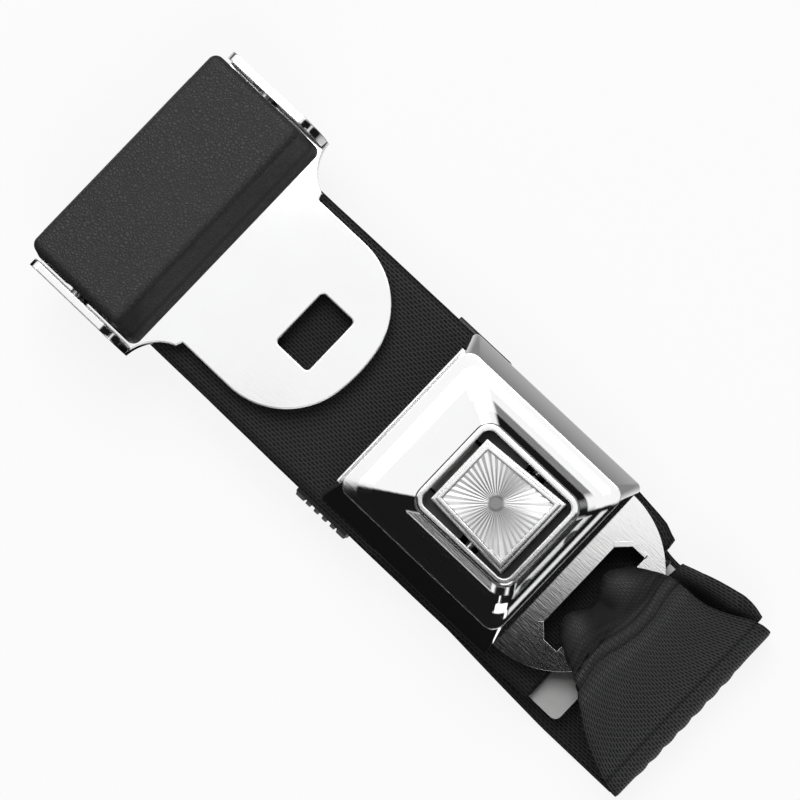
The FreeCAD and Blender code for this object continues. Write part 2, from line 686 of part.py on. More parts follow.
def make_adjuster_cover():
    rear = size("cap_rear")
    front = rear + size("cap_length")
    half = size("frame_half_width") - size("ear_thickness") - size("cap_side_gap")
    corner = size("cap_corner")
    drafts = (size("cap_rear_draft"), size("cap_front_draft"), size("cap_side_draft"))
    wall = size("cap_wall")
    top = deck_top + size("cap_height")
    outer = leaning_block(rear, front, half, drafts, deck_top, top)
    upright = [edge for edge in outer.Edges if edge.BoundBox.ZLength > size("cap_height") / 2]
    outer = outer.makeFillet(corner, upright)
    rim = [edge for edge in outer.Edges if edge.BoundBox.ZMin > top - 1e-3]
    outer = outer.makeFillet(size("cap_edge"), rim)
    inner = leaning_block(rear + wall, front - wall, half - wall, drafts, deck_top - wall, top - wall)
    shell = outer.cut(inner)
    strap_side = size("webbing_width") / 2 + fit * 4
    shift = size("webbing_side_shift")
    exit_top = level_over_bar + half_strap + fit * 4
    shell = shell.cut(box(rear - wall, rear + wall * 2, shift - strap_side, shift + strap_side,
                          deck_top - wall, exit_top))
    bar_x = size("lock_bar_x")
    clear = size("lock_bar_tang") + size("slide_clearance") * 3
    shell = shell.cut(box(bar_x - size("lock_bar_travel") - clear, bar_x + clear, -half * 2, half * 2,
                          deck_top - wall, lock_bar_z + clear))
    return feature("adjuster_cover", shell)


# Lock bar: grip teeth all round between two plain ends


def make_lock_bar():
    teeth = int(size("lock_bar_teeth"))
    outer = size("lock_bar_radius")
    root = outer - size("lock_bar_tooth")
    points = []
    for index in range(teeth * 2):
        angle = math.pi * index / teeth
        radius = outer if index % 2 == 0 else root
        points.append(Vector(radius * math.cos(angle), 0, radius * math.sin(angle)))
    half_grip = size("webbing_width") / 2 + size("cap_wall") / 2
    half_bar = size("frame_half_width") - size("slide_clearance")
    section = Part.Face(Part.makePolygon(points + points[:1]))
    section.translate(Vector(0, -half_grip, 0))
    grip = section.extrude(Vector(0, 2 * half_grip, 0))
    tang = Part.makeCylinder(size("lock_bar_tang"), 2 * half_bar, Vector(0, -half_bar, 0), Vector(0, 1, 0))
    place = Placement(Vector(size("lock_bar_x"), 0, lock_bar_z), Rotation())
    return feature("lock_bar", grip.fuse(tang), place)


# Leaf spring: bowed strip between the strap and the cap's ceiling


def make_cap_spring():
    thickness = size("leaf_thickness")
    ceiling = deck_top + size("cap_height") - size("cap_wall")
    strap_top = level_over_bar + half_strap
    low = strap_top + gap + thickness / 2
    high = ceiling - gap - thickness / 2
    start = size("cap_rear") + size("cap_length") / 4
    span = size("cap_length") / 2.4
    bow = (high - low) * 2
    route = [
        (start, low, 0),
        (start + span * 0.25, low, span / 5),
        (start + span * 0.45, high, span / 5),
        (start + span * 0.75, high, span / 5),
        (start + span, low + bow / 4, 0),
    ]
    return feature("cap_spring", ribbon(route, thickness, size("leaf_width"), 0))


# Buckle base: flat plate, half-round tab with a strap slot, and two side rails


def make_buckle_base():
    body = new_body("buckle_base", "Sizes.buckle_side_shift")
    half = size("base_half_width")
    front = size("base_front")
    center = size("tab_center")
    corner = size("ridge_corner")
    c = corner * (1 - math.sqrt(0.5))
    outline = sketch(body, "base_outline", "XY_Plane", "Sizes.buckle_level")
    draw(outline, [
        Part.LineSegment(Vector(front, -half + corner, 0), Vector(front, half - corner, 0)),
        Part.Arc(Vector(front, half - corner, 0), Vector(front + c, half - c, 0),
                 Vector(front + corner, half, 0)),
        Part.LineSegment(Vector(front + corner, half, 0), Vector(center, half, 0)),
        Part.Arc(Vector(center, half, 0), Vector(center + half, 0, 0), Vector(center, -half, 0)),
        Part.LineSegment(Vector(center, -half, 0), Vector(front + corner, -half, 0)),
        Part.Arc(Vector(front + corner, -half, 0), Vector(front + c, -half + c, 0),
                 Vector(front, -half + corner, 0)),
    ])
    pad(body, "base_sheet", outline, "Sizes.base_thickness")
    slot = sketch(body, "strap_slot", "XY_Plane", "Sizes.buckle_level")
    slot_front, slot_rear = size("tab_slot_front"), size("tab_slot_rear")
    front_half, rear_half = size("tab_slot_front_half"), size("tab_slot_rear_half")
    knee = slot_front + (rear_half - front_half)
    draw_polygon(slot, [(slot_front, -front_half), (slot_front, front_half), (knee, rear_half),
                        (slot_rear, rear_half), (slot_rear, -rear_half), (knee, -rear_half)])
    pocket(body, "slot_cut", slot, "Sizes.base_thickness", True)
    lip = size("rail_thickness") / 2
    for side in (1, -1):
        name = "left" if side > 0 else "right"
        lip_outline = sketch(body, "lip_" + name, "XY_Plane", "%f mm" % base_top)
        draw_polygon(lip_outline, [
            (slot_front, side * front_half), (knee, side * rear_half),
            (slot_rear, side * rear_half), (slot_rear, side * (rear_half + lip)),
            (knee - lip, side * (rear_half + lip)), (slot_front - lip, side * (front_half + lip))])
        pad(body, "lip_%s_pad" % name, lip_outline, "Sizes.tab_lip_height")
    rail_top = size("rail_height")
    rail_front, rail_rear = size("rail_front"), size("rail_rear")
    inner = size("rail_inner")
    chamfer = rail_top / 3
    for name, offset in (("left", "-Sizes.rail_inner - Sizes.rail_thickness"),
                         ("right", "Sizes.rail_inner")):
        rail = sketch(body, "rail_" + name, "XZ_Plane", offset)
        draw_polygon(rail, [(rail_front, base_foot), (rail_rear, base_foot),
                            (rail_rear, base_top + rail_top - chamfer),
                            (rail_rear - chamfer, base_top + rail_top),
                            (rail_front + chamfer, base_top + rail_top),
                            (rail_front, base_top + rail_top - chamfer)])
        pad(body, "rail_%s_sheet" % name, rail, "Sizes.rail_thickness", False)
    bores = sketch(body, "pin_holes", "XZ_Plane", "-Sizes.rail_inner - 2 * Sizes.rail_thickness")
    draw(bores, [Part.Circle(Vector(size("pivot_x"), pivot_z, 0), Vector(0, 0, 1), size("pin_radius"))])
    pocket(body, "pin_hole_cuts", bores, "2 * Sizes.rail_inner + 4 * Sizes.rail_thickness", True)
    key_half = size("ejector_stem_half") + fit
    key_start = size("ejector_front") + size("ejector_length") / 4 - fit
    key_end = key_start + size("ejector_length") / 2 + size("ejector_travel") + 2 * fit
    key_slot = sketch(body, "key_slot", "XY_Plane", "Sizes.buckle_level")
    draw_polygon(key_slot, [(key_start, -key_half), (key_start, key_half),
                            (key_end, key_half), (key_end, -key_half)])
    pocket(body, "key_slot_cut", key_slot, "Sizes.base_thickness", True)
    rivets = sketch(body, "rivet_holes", "XY_Plane", "Sizes.buckle_level")
    for x, y in rivet_places():
        draw(rivets, [Part.Circle(Vector(x, y, 0), Vector(0, 0, 1), size("rivet_radius"))])
    pocket(body, "rivet_hole_cuts", rivets, "Sizes.base_thickness", True)
    return body


def rivet_places():
    """Middles of the four rivets, in the buckle's own plan."""
    y = size("base_half_width") - size("rivet_head")
    return [(x, side * y) for x in (size("rail_front"), size("rail_rear")) for side in (1, -1)]


# Buckle cover: pressed shell with flared sides, a ridge, concave facets and a ring


def cover_solid(inset):
    """The cover's outer form, or with an inset the form of the space inside it."""
    front, rear = size("cover_front") + inset, size("cover_rear") - inset
    foot_half = size("base_half_width") + size("cover_base_gap") + size("cover_wall")
    half = foot_half - inset
    ridge_front = size("cover_front") + size("ridge_front_inset") + inset
    ridge_rear = size("cover_rear") - size("ridge_rear_inset") - inset
    ridge_half = foot_half - size("ridge_side_inset") - inset
    corner = size("ridge_corner") - inset
    foot = base_foot - inset
    sag = size("facet_sag")

    def between(a, b, share):
        return a + (b - a) * share

    ring_front, ring_rear = size("ring_front") + inset, size("ring_rear") - inset
    ring_half = size("ring_half_width") - inset
    ring_corner = size("ring_corner") - inset
    sections = [rounded_rectangle(front, rear, -half, half, corner / 2, foot)]
    steps = int(size("facet_steps"))
    for step in range(steps + 1):
        share = step / steps
        z = between(ridge_z, ring_foot_z, share) - sag * math.sin(math.pi * share) - inset
        sections.append(rounded_rectangle(
            between(ridge_front, ring_front, share), between(ridge_rear, ring_rear, share),
            -between(ridge_half, ring_half, share), between(ridge_half, ring_half, share),
            between(corner, ring_corner, share), z))
    return Part.makeLoft(sections, True, True)


def make_buckle_cover():
    wall = size("cover_wall")
    outer = cover_solid(0)
    inner = cover_solid(wall)
    ring_front, ring_rear = size("ring_front"), size("ring_rear")
    ring_half = size("ring_half_width")
    ring_face = Part.Face(rounded_rectangle(ring_front, ring_rear, -ring_half, ring_half,
                                            size("ring_corner"), ring_foot_z - wall / 2))
    ring = ring_face.extrude(Vector(0, 0, ring_top_z - ring_foot_z + wall / 2))
    lip = [edge for edge in ring.Edges if edge.BoundBox.ZMin > ring_top_z - 1e-3]
    ring = ring.makeFillet(size("ring_wall") * 0.42, lip)
    ring_wall = size("ring_wall")
    sleeve_inset = ring_wall / 2
    sleeve_foot = base_foot + size("button_skirt") + size("button_flange") + fit
    sleeve_face = Part.Face(rounded_rectangle(
        ring_front + sleeve_inset, ring_rear - sleeve_inset, -ring_half + sleeve_inset,
        ring_half - sleeve_inset, size("ring_corner") - sleeve_inset, sleeve_foot))
    sleeve = sleeve_face.extrude(Vector(0, 0, ring_foot_z - sleeve_foot))
    shell = outer.fuse(ring).cut(inner).fuse(sleeve)
    tab_half = size("rivet_head") + fit
    for x, y in rivet_places():
        side = 1 if y > 0 else -1
        foot_half = size("base_half_width") + size("cover_base_gap") + wall * 3 / 4
        near, far = sorted((y - side * tab_half, side * foot_half))
        tab = box(x - tab_half, x + tab_half, near, far, base_foot - wall, base_foot)
        hole = Part.makeCylinder(size("rivet_radius"), wall * 4, Vector(x, y, base_foot - wall * 2))
        shell = shell.fuse(tab).cut(hole)
    hole = Part.Face(rounded_rectangle(
        size("ring_front") + ring_wall, size("ring_rear") - ring_wall,
        -size("ring_half_width") + ring_wall, size("ring_half_width") - ring_wall,
        size("ring_corner") - ring_wall, base_top))
    shell = shell.cut(hole.extrude(Vector(0, 0, ring_top_z)))
    mouth_half = size("blade_half_width") + size("mouth_gap")
    mouth_top = base_top + size("mouth_height")
    lean = size("ridge_side_inset") * size("mouth_height") / size("ridge_height")
    front = size("cover_front")
    mouth = Part.makePolygon([
        Vector(front - wall, -mouth_half, base_foot - wall), Vector(front - wall, mouth_half, base_foot - wall),
        Vector(front - wall, mouth_half, base_top), Vector(front - wall, mouth_half - lean, mouth_top),
        Vector(front - wall, -mouth_half + lean, mouth_top), Vector(front - wall, -mouth_half, base_top),
        Vector(front - wall, -mouth_half, base_foot - wall)])
    shell = shell.cut(Part.Face(mouth).extrude(Vector(size("ridge_front_inset") + wall * 3, 0, 0)))
    lip_radius = size("mouth_lip")
    lip_x = front + size("ridge_front_inset") * (mouth_top - base_foot) / size("ridge_height")
    lip_half = mouth_half - lean
    lip_bar = Part.makeCylinder(lip_radius, 2 * lip_half,
                                Vector(lip_x, -lip_half, mouth_top + lip_radius), Vector(0, 1, 0))
    shell = shell.fuse(lip_bar)
    half = size("base_half_width") + fit
    rear = size("cover_rear")
    shell = shell.cut(box(rear - wall * 3, rear + wall, -half, half, base_foot - wall, base_top + fit))
    place = Placement(Vector(0, size("buckle_side_shift"), 0), Rotation())
    return feature("buckle_cover", shell, place)


def trapezoid(inset):
    """Plan of the button, drawn in by an inset on every side."""
    front, rear = button_front + inset, button_rear - inset
    taper = (button_rear_half - button_front_half) / (button_rear - button_front)

    def half_at(x):
        return button_front_half + taper * (x - button_front) - inset

    return [(front, -half_at(front)), (rear, -half_at(rear)), (rear, half_at(rear)), (front, half_at(front))]


# Push button: hollow carrier held in by a flange, with a bright stepped frame on top


def make_push_button():
    body = new_body("push_button", "Sizes.buckle_side_shift")
    step = size("button_step")
    skirt = base_foot + size("button_skirt")
    outer = sketch(body, "button_outline", "XY_Plane", "Sizes.buckle_level + Sizes.button_skirt")
    draw_polygon(outer, trapezoid(0))
    pad(body, "button_block", outer, "Sizes.frame_foot - Sizes.button_skirt")
    upper = sketch(body, "button_seat_outline", "XY_Plane", "Sizes.buckle_level + Sizes.frame_foot")
    draw_polygon(upper, trapezoid(size("button_rim") + fit / 3))
    pad(body, "button_seat", upper,
        "Sizes.button_top - Sizes.insert_thickness - Sizes.frame_foot")
    flange = sketch(body, "flange_outline", "XY_Plane", "Sizes.buckle_level + Sizes.button_skirt")
    wall = size("ring_wall")
    flange_front = size("ring_front") + wall - step
    flange_rear = size("ring_rear") - wall + step
    flange_half = size("ring_half_width") - wall + step
    draw_rounded(flange, flange_front, flange_rear, -flange_half, flange_half, step * 2)
    pad(body, "flange_plate", flange, "Sizes.button_flange")
    hollow = sketch(body, "hollow_outline", "XY_Plane", "Sizes.buckle_level + Sizes.button_skirt")
    draw_polygon(hollow, trapezoid(size("button_wall")))
    pocket(body, "hollow_cut", hollow,
           "Sizes.frame_foot - Sizes.button_skirt - Sizes.button_wall", True)
    notch_half = latch_half + fit * 4
    notch_top = skirt + size("button_flange") + size("latch_thickness")
    notch = sketch(body, "latch_notch", "YZ_Plane", "%f mm" % (flange_front - step))
    draw_polygon(notch, [(-notch_half, skirt - step), (notch_half, skirt - step),
                         (notch_half, notch_top), (-notch_half, notch_top)])
    pocket(body, "latch_notch_cut", notch, "%f mm" % (size("button_wall") * 2
                                                      + button_front - flange_front), True)
    relief_half = size("pin_radius") + 4 * size("spring_wire") + fit
    relief_top = pivot_z + relief_half + size("button_travel")
    relief = sketch(body, "pin_relief", "XZ_Plane", "%f mm" % (-2 * button_rear_half))
    draw_polygon(relief, [(size("pivot_x") - relief_half, skirt - step),
                          (size("pivot_x") + relief_half, skirt - step),
                          (size("pivot_x") + relief_half, relief_top),
                          (size("pivot_x") - relief_half, relief_top)])
    pocket(body, "pin_relief_cut", relief, "%f mm" % (4 * button_rear_half), True)
    foot = sketch(body, "foot_outline", "XY_Plane", "%f mm" % (latch_top() + size("foot_gap")))
    foot_half = latch_half - step
    foot_rear = button_rear
    draw_polygon(foot, [(foot_rear - size("button_wall"), -foot_half), (foot_rear, -foot_half),
                        (foot_rear, foot_half), (foot_rear - size("button_wall"), foot_half)])
    pad(body, "foot_block", foot, "%f mm" % (skirt + step - latch_top() - size("foot_gap")))
    return body


def make_button_frame():
    """Bright stepped frame round the insert."""
    body = new_body("button_frame", "Sizes.buckle_side_shift")
    outer = sketch(body, "frame_outline", "XY_Plane", "Sizes.buckle_level + Sizes.frame_foot")
    draw_polygon(outer, trapezoid(0))
    draw_polygon(outer, trapezoid(size("button_rim")))
    pad(body, "frame_step", outer, "Sizes.button_top - Sizes.frame_foot - Sizes.button_step")
    inner = sketch(body, "frame_inner_outline", "XY_Plane",
                   "Sizes.buckle_level + Sizes.button_top - Sizes.button_step")
    draw_polygon(inner, trapezoid(size("button_step")))
    draw_polygon(inner, trapezoid(size("button_rim")))
    pad(body, "frame_top", inner, "Sizes.button_step")
    return body


def latch_top():
    return pivot_z + size("latch_thickness") / 2


# Button insert: radial flutes round a plain disc


def edge_point(polygon, center, angle):
    """Where a ray from the centre leaves the polygon."""
    direction = Vector(math.cos(angle), math.sin(angle), 0)
    best = None
    for (x0, y0), (x1, y1) in zip(polygon, polygon[1:] + polygon[:1]):
        side = Vector(x1 - x0, y1 - y0, 0)
        start = Vector(x0, y0, 0) - center
        cross = direction.x * side.y - direction.y * side.x
        if abs(cross) < 1e-9:
            continue
        distance = (start.x * side.y - start.y * side.x) / cross
        share = (start.x * direction.y - start.y * direction.x) / cross
        if distance > 0 and -1e-9 <= share <= 1 + 1e-9:
            best = distance if best is None else min(best, distance)
    return center + direction * best


def make_button_insert():
    """A fan of flat flanks: each flute is a valley between two ridges that run to the middle."""
    rim = size("button_rim") + fit / 3
    polygon = trapezoid(rim)
    flutes = int(size("insert_flutes"))
    center = Vector((button_front + button_rear) / 2, 0, 0)
    floor = base_foot + size("button_top") - size("insert_thickness")
    ridge = floor + size("insert_thickness") - fit
    valley = ridge - size("insert_flute")
    middle = (ridge + valley) / 2
    angles = [math.pi * index / flutes for index in range(flutes * 2)]
    rims = []
    for index, angle in enumerate(angles):
        point = edge_point(polygon, center, angle)
        rims.append(Vector(point.x, point.y, ridge if index % 2 == 0 else valley))
    corner_angles = [math.atan2(y - center.y, x - center.x) % (2 * math.pi) for x, y in polygon]
    for corner_angle, (x, y) in zip(corner_angles, polygon):
        nearest = min(range(len(angles)), key=lambda i: abs(angles[i] - corner_angle))
        rims[nearest] = Vector(x, y, rims[nearest].z)
    hub = Vector(center.x, center.y, middle)
    faces = []
    count = len(rims)
    for index in range(count):
        a, b = rims[index], rims[(index + 1) % count]
        faces.append(Part.Face(Part.makePolygon([hub, a, b, hub])))
        a_foot, b_foot = Vector(a.x, a.y, floor), Vector(b.x, b.y, floor)
        faces.append(Part.Face(Part.makePolygon([a, a_foot, b_foot, b, a])))
    feet = [Vector(p.x, p.y, floor) for p in rims]
    faces.append(Part.Face(Part.makePolygon(feet + feet[:1])))
    plate_solid = Part.Solid(Part.Shell(faces))
    if plate_solid.Volume < 0:
        plate_solid.reverse()
    disc_height = ridge - floor
    disc = Part.makeCylinder(size("insert_disc"), disc_height, Vector(center.x, center.y, floor))
    place = Placement(Vector(0, size("buckle_side_shift"), 0), Rotation())
    return feature("button_insert", plate_solid.fuse(disc), place)


# Latch: barrel on the pin, rear arm under the button, cranked front arm with the tooth


def make_latch():
    pivot = size("pivot_x")
    half = latch_half
    thickness = size("latch_thickness")
    arm = size("latch_arm_thickness")
    arm_foot = base_top + size("latch_arm_drop")
    front = size("tooth_front")
    rear = size("latch_rear") - size("pin_radius")
    crank_low = pivot - size("barrel_radius") * 3
    crank_high = pivot - size("barrel_radius") * 1.2
    section = [
        (rear, pivot_z - thickness / 2), (rear, pivot_z + thickness / 2),
        (crank_high, pivot_z + thickness / 2), (crank_low, arm_foot + arm),
        (front, arm_foot + arm), (front, base_top + size("tooth_gap")),
        (front + size("tooth_length"), base_top + size("tooth_gap")),
        (front + size("tooth_length"), arm_foot), (crank_low + arm / 2, arm_foot),
        (crank_high + arm / 2, pivot_z - thickness / 2),
    ]
    corners = [Vector(x, -half, z) for x, z in section]
    blade = Part.Face(Part.makePolygon(corners + corners[:1])).extrude(Vector(0, 2 * half, 0))
    barrel = Part.makeCylinder(size("barrel_radius"), 2 * half, Vector(pivot, -half, pivot_z), Vector(0, 1, 0))
    bore_radius = size("pin_radius") + size("pin_clearance")
    bore = Part.makeCylinder(bore_radius, 4 * half, Vector(pivot, -2 * half, pivot_z), Vector(0, 1, 0))
    place = Placement(Vector(0, size("buckle_side_shift"), 0), Rotation())
    return feature("latch", blade.fuse(barrel).cut(bore), place)


def make_latch_pin():
    pin = doc.addObject("Part::Cylinder", "latch_pin")
    pin.Label = "latch_pin"
    pin.setExpression("Radius", "Sizes.pin_radius")
    pin.setExpression("Height", "2 * Sizes.rail_inner + 2 * Sizes.rail_thickness")
    start = size("buckle_side_shift") + size("rail_inner") + size("rail_thickness")
    pin.Placement = Placement(Vector(size("pivot_x"), start, pivot_z), Rotation(Vector(1, 0, 0), 90))
    return pin


def coil(radius, wire, turns, height):
    """Compression spring that stands on its own foot, along +Z: six-sided wire in short chords."""
    rise = height - 2 * wire
    chords = 10
    count = int(turns * chords)
    rings = []
    for step in range(count + 1):
        angle = 2 * math.pi * step / chords
        outward = Vector(math.cos(angle), math.sin(angle), 0)
        middle = outward * radius + Vector(0, 0, wire + rise * step / count)
        ring = []
        for side in range(6):
            turn = math.pi * side / 3
            ring.append(middle + outward * (wire * math.cos(turn)) + Vector(0, 0, wire * math.sin(turn)))
        rings.append(ring)
    faces = [Part.Face(Part.makePolygon(ring + ring[:1])) for ring in (rings[0], rings[-1])]
    for lower, upper in zip(rings, rings[1:]):
        for side in range(6):
            after = (side + 1) % 6
            corners = (lower[side], lower[after], upper[after], upper[side])
            for three in (corners[:3], (corners[0], corners[2], corners[3])):
                faces.append(Part.Face(Part.makePolygon(list(three) + [three[0]])))
    solid = Part.Solid(Part.Shell(faces))
    if solid.Volume < 0:
        solid.reverse()
    return solid


def make_button_springs():
    foot = base_top
    height = base_foot + size("button_skirt") - base_top
    x = size("pivot_x") + size("pin_radius") + 2 * size("button_spring_radius") + fit
    y = button_rear_half - fit
    coils = []
    for side in (1, -1):
        one = coil(size("button_spring_radius"), size("spring_wire"), size("button_spring_turns"),
                   height - fit)
        one.translate(Vector(x, side * y, foot + fit / 2))
        coils.append(one)
    place = Placement(Vector(0, size("buckle_side_shift"), 0), Rotation())
    return feature("button_springs", Part.makeCompound(coils), place)


def make_latch_spring():
    """Torsion spring: a coil round the pin with one leg down to the base."""
    wire = size("spring_wire")
    radius = size("pin_radius") + size("pin_clearance") + wire * 2
    turns = 4
    run = turns * wire * 2.6
    one = coil(radius, wire, turns, run + 2 * wire)
    one.rotate(Vector(0, 0, 0), Vector(1, 0, 0), -90)
    start = latch_half + wire * 3
    one.translate(Vector(size("pivot_x"), start, pivot_z))
    leg_length = pivot_z - base_top - fit
    leg = Part.makeCylinder(wire, leg_length,
                            Vector(size("pivot_x") + radius, start + wire, base_top + fit))
    place = Placement(Vector(0, size("buckle_side_shift"), 0), Rotation())
    return feature("latch_spring", one.fuse(leg), place)


# Ejector: a bar behind the tooth with a stem that runs back over the base


def make_ejector():
    body = new_body("ejector", "Sizes.buckle_side_shift")
    front = size("ejector_front")
    half = size("ejector_half_width")
    stem = size("ejector_stem_half")
    length = size("ejector_length")
    outline = sketch(body, "ejector_outline", "XY_Plane", "%f mm" % (base_top + fit))
    rear = front + length
    dish = length / 4
    draw(outline, [
        Part.Arc(Vector(front, -half, 0), Vector(front + dish, 0, 0), Vector(front, half, 0)),
        Part.LineSegment(Vector(front, half, 0), Vector(rear, half, 0)),
        Part.LineSegment(Vector(rear, half, 0), Vector(rear, stem * 3, 0)),
        Part.LineSegment(Vector(rear, stem * 3, 0), Vector(rear - dish, stem * 3, 0)),
        Part.LineSegment(Vector(rear - dish, stem * 3, 0), Vector(rear - dish, -stem * 3, 0)),
        Part.LineSegment(Vector(rear - dish, -stem * 3, 0), Vector(rear, -stem * 3, 0)),
        Part.LineSegment(Vector(rear, -stem * 3, 0), Vector(rear, -half, 0)),
        Part.LineSegment(Vector(rear, -half, 0), Vector(front, -half, 0)),
    ])
    pad(body, "ejector_block", outline, "Sizes.ejector_height - Sizes.fit_gap")
    key_start = front + length / 4
    key = sketch(body, "ejector_key", "XY_Plane", "Sizes.buckle_level + Sizes.fit_gap")
    draw_polygon(key, [(key_start, -stem), (key_start, stem),
                       (key_start + length / 2, stem), (key_start + length / 2, -stem)])
    pad(body, "ejector_key_block", key, "Sizes.base_thickness + Sizes.fit_gap")
    return body


def make_ejector_spring():
    """Drawn at its shortest length, seated against its post on the base."""
    wire = size("spring_wire")
    radius = size("ejector_height") / 2 - wire - fit / 2
    spring_start = size("ejector_front") + size("ejector_length") + size("ejector_travel") + wire
    length = size("rail_rear") - spring_start - size("rail_thickness")
    turns = 8
    one = coil(radius, wire, turns, length)
    one.rotate(Vector(0, 0, 0), Vector(0, 1, 0), 90)
    one.translate(Vector(spring_start, 0, base_top + fit + radius + wire))
    place = Placement(Vector(0, size("buckle_side_shift"), 0), Rotation())
    return feature("ejector_spring", one, place)


def make_spring_post():
    post = doc.addObject("Part::Box", "spring_post")
    post.Label = "spring_post"
    post.setExpression("Length", "Sizes.rail_thickness")
    post.setExpression("Width", "4 * Sizes.ejector_stem_half")
    post.setExpression("Height", "Sizes.ejector_height")
    corner = Vector(size("rail_rear") - size("rail_thickness"),
                    size("buckle_side_shift") - 2 * size("ejector_stem_half"), base_top)
    post.Placement = Placement(corner, Rotation())
    return post


def make_rivets():
    """Four rivets through the cover's tabs and the base: head below, formed tail above."""
    rivets = []
    head = size("rivet_head")
    head_height = size("rivet_radius") / 2
    tab_foot = base_foot - size("cover_wall")
    for x, y in rivet_places():
        shank = Part.makeCylinder(size("rivet_radius"), base_top - tab_foot, Vector(x, y, tab_foot))
        tail = Part.makeCone(head, size("rivet_radius"), head_height, Vector(x, y, base_top))
        dome = Part.makeCone(size("rivet_radius"), head, head_height, Vector(x, y, tab_foot - head_height))
        rivets.append(shank.fuse(tail).fuse(dome))
    place = Placement(Vector(0, size("buckle_side_shift"), 0), Rotation())
    return feature("base_rivets", Part.makeCompound(rivets), place)


parts = [
    make_tongue_webbing(),
    make_buckle_strap(),
    make_anchor_plate("tongue_anchor_plate", size("tongue_anchor_edge"), WEST, level_tongue_plate),
    make_anchor_plate("buckle_anchor_plate", size("buckle_anchor_edge"), EAST, level_buckle_plate),
    make_keeper(),
    make_tongue_plate(),
    make_adjuster_cover(),
    make_lock_bar(),
    make_cap_spring(),
    make_buckle_base(),
    make_buckle_cover(),
    make_push_button(),
    make_button_frame(),
    make_button_insert(),
    make_latch(),
    make_latch_pin(),
    make_latch_spring(),
    make_button_springs(),
    make_ejector(),
    make_ejector_spring(),
    make_spring_post(),
    make_rivets(),
]

doc.recompute()
for item in doc.Objects:
    if "Invalid" in item.State or "Error" in item.State:
        raise RuntimeError("failed object: " + item.Name)
for item in parts:
    if item.Shape.isNull() or not item.Shape.isValid():
        raise RuntimeError("bad shape: " + item.Label)

os.makedirs("parts", exist_ok=True)
for item in parts:
    item.Shape.exportStep("parts/" + item.Label + ".step")
    bounds = item.Shape.BoundBox
    print("%-22s solids %2d volume %9.2f  x %7.2f %7.2f  y %7.2f %7.2f  z %6.2f %6.2f" % (
        item.Label, len(item.Shape.Solids), item.Shape.Volume, bounds.XMin, bounds.XMax,
        bounds.YMin, bounds.YMax, bounds.ZMin, bounds.ZMax))
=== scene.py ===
import math

import bmesh
import bpy
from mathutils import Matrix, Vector, noise


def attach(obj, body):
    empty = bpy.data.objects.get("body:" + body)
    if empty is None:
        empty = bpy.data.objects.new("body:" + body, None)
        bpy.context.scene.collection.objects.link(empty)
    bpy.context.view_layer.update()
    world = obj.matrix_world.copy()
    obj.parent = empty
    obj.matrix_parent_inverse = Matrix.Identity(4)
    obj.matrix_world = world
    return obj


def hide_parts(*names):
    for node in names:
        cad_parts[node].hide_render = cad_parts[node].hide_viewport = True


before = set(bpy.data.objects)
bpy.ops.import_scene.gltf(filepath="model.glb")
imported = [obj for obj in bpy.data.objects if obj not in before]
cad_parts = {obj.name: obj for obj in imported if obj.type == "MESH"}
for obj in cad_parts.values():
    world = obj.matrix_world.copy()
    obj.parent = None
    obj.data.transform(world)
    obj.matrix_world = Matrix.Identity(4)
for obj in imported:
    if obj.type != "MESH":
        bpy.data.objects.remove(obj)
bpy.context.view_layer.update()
MM = 0.001

scene = bpy.context.scene
scene.view_settings.view_transform = "Standard"

# Camera: fitted to the photograph, almost straight above, turned 44 degrees
CAMERA_AT = Vector((107.0, -22.8, 742.1)) * MM
CAMERA_TURN = tuple(math.radians(a) for a in (7.417, 4.983, 43.804))
CAMERA_LENS = 158.36

camera_data = bpy.data.cameras.new("camera")
camera_data.lens = CAMERA_LENS
camera_data.sensor_width = 36.0
camera_data.clip_start = 0.01
camera_data.clip_end = 50.0
camera = bpy.data.objects.new("camera", camera_data)
camera.location = CAMERA_AT
camera.rotation_euler = CAMERA_TURN
scene.collection.objects.link(camera)
scene.camera = camera


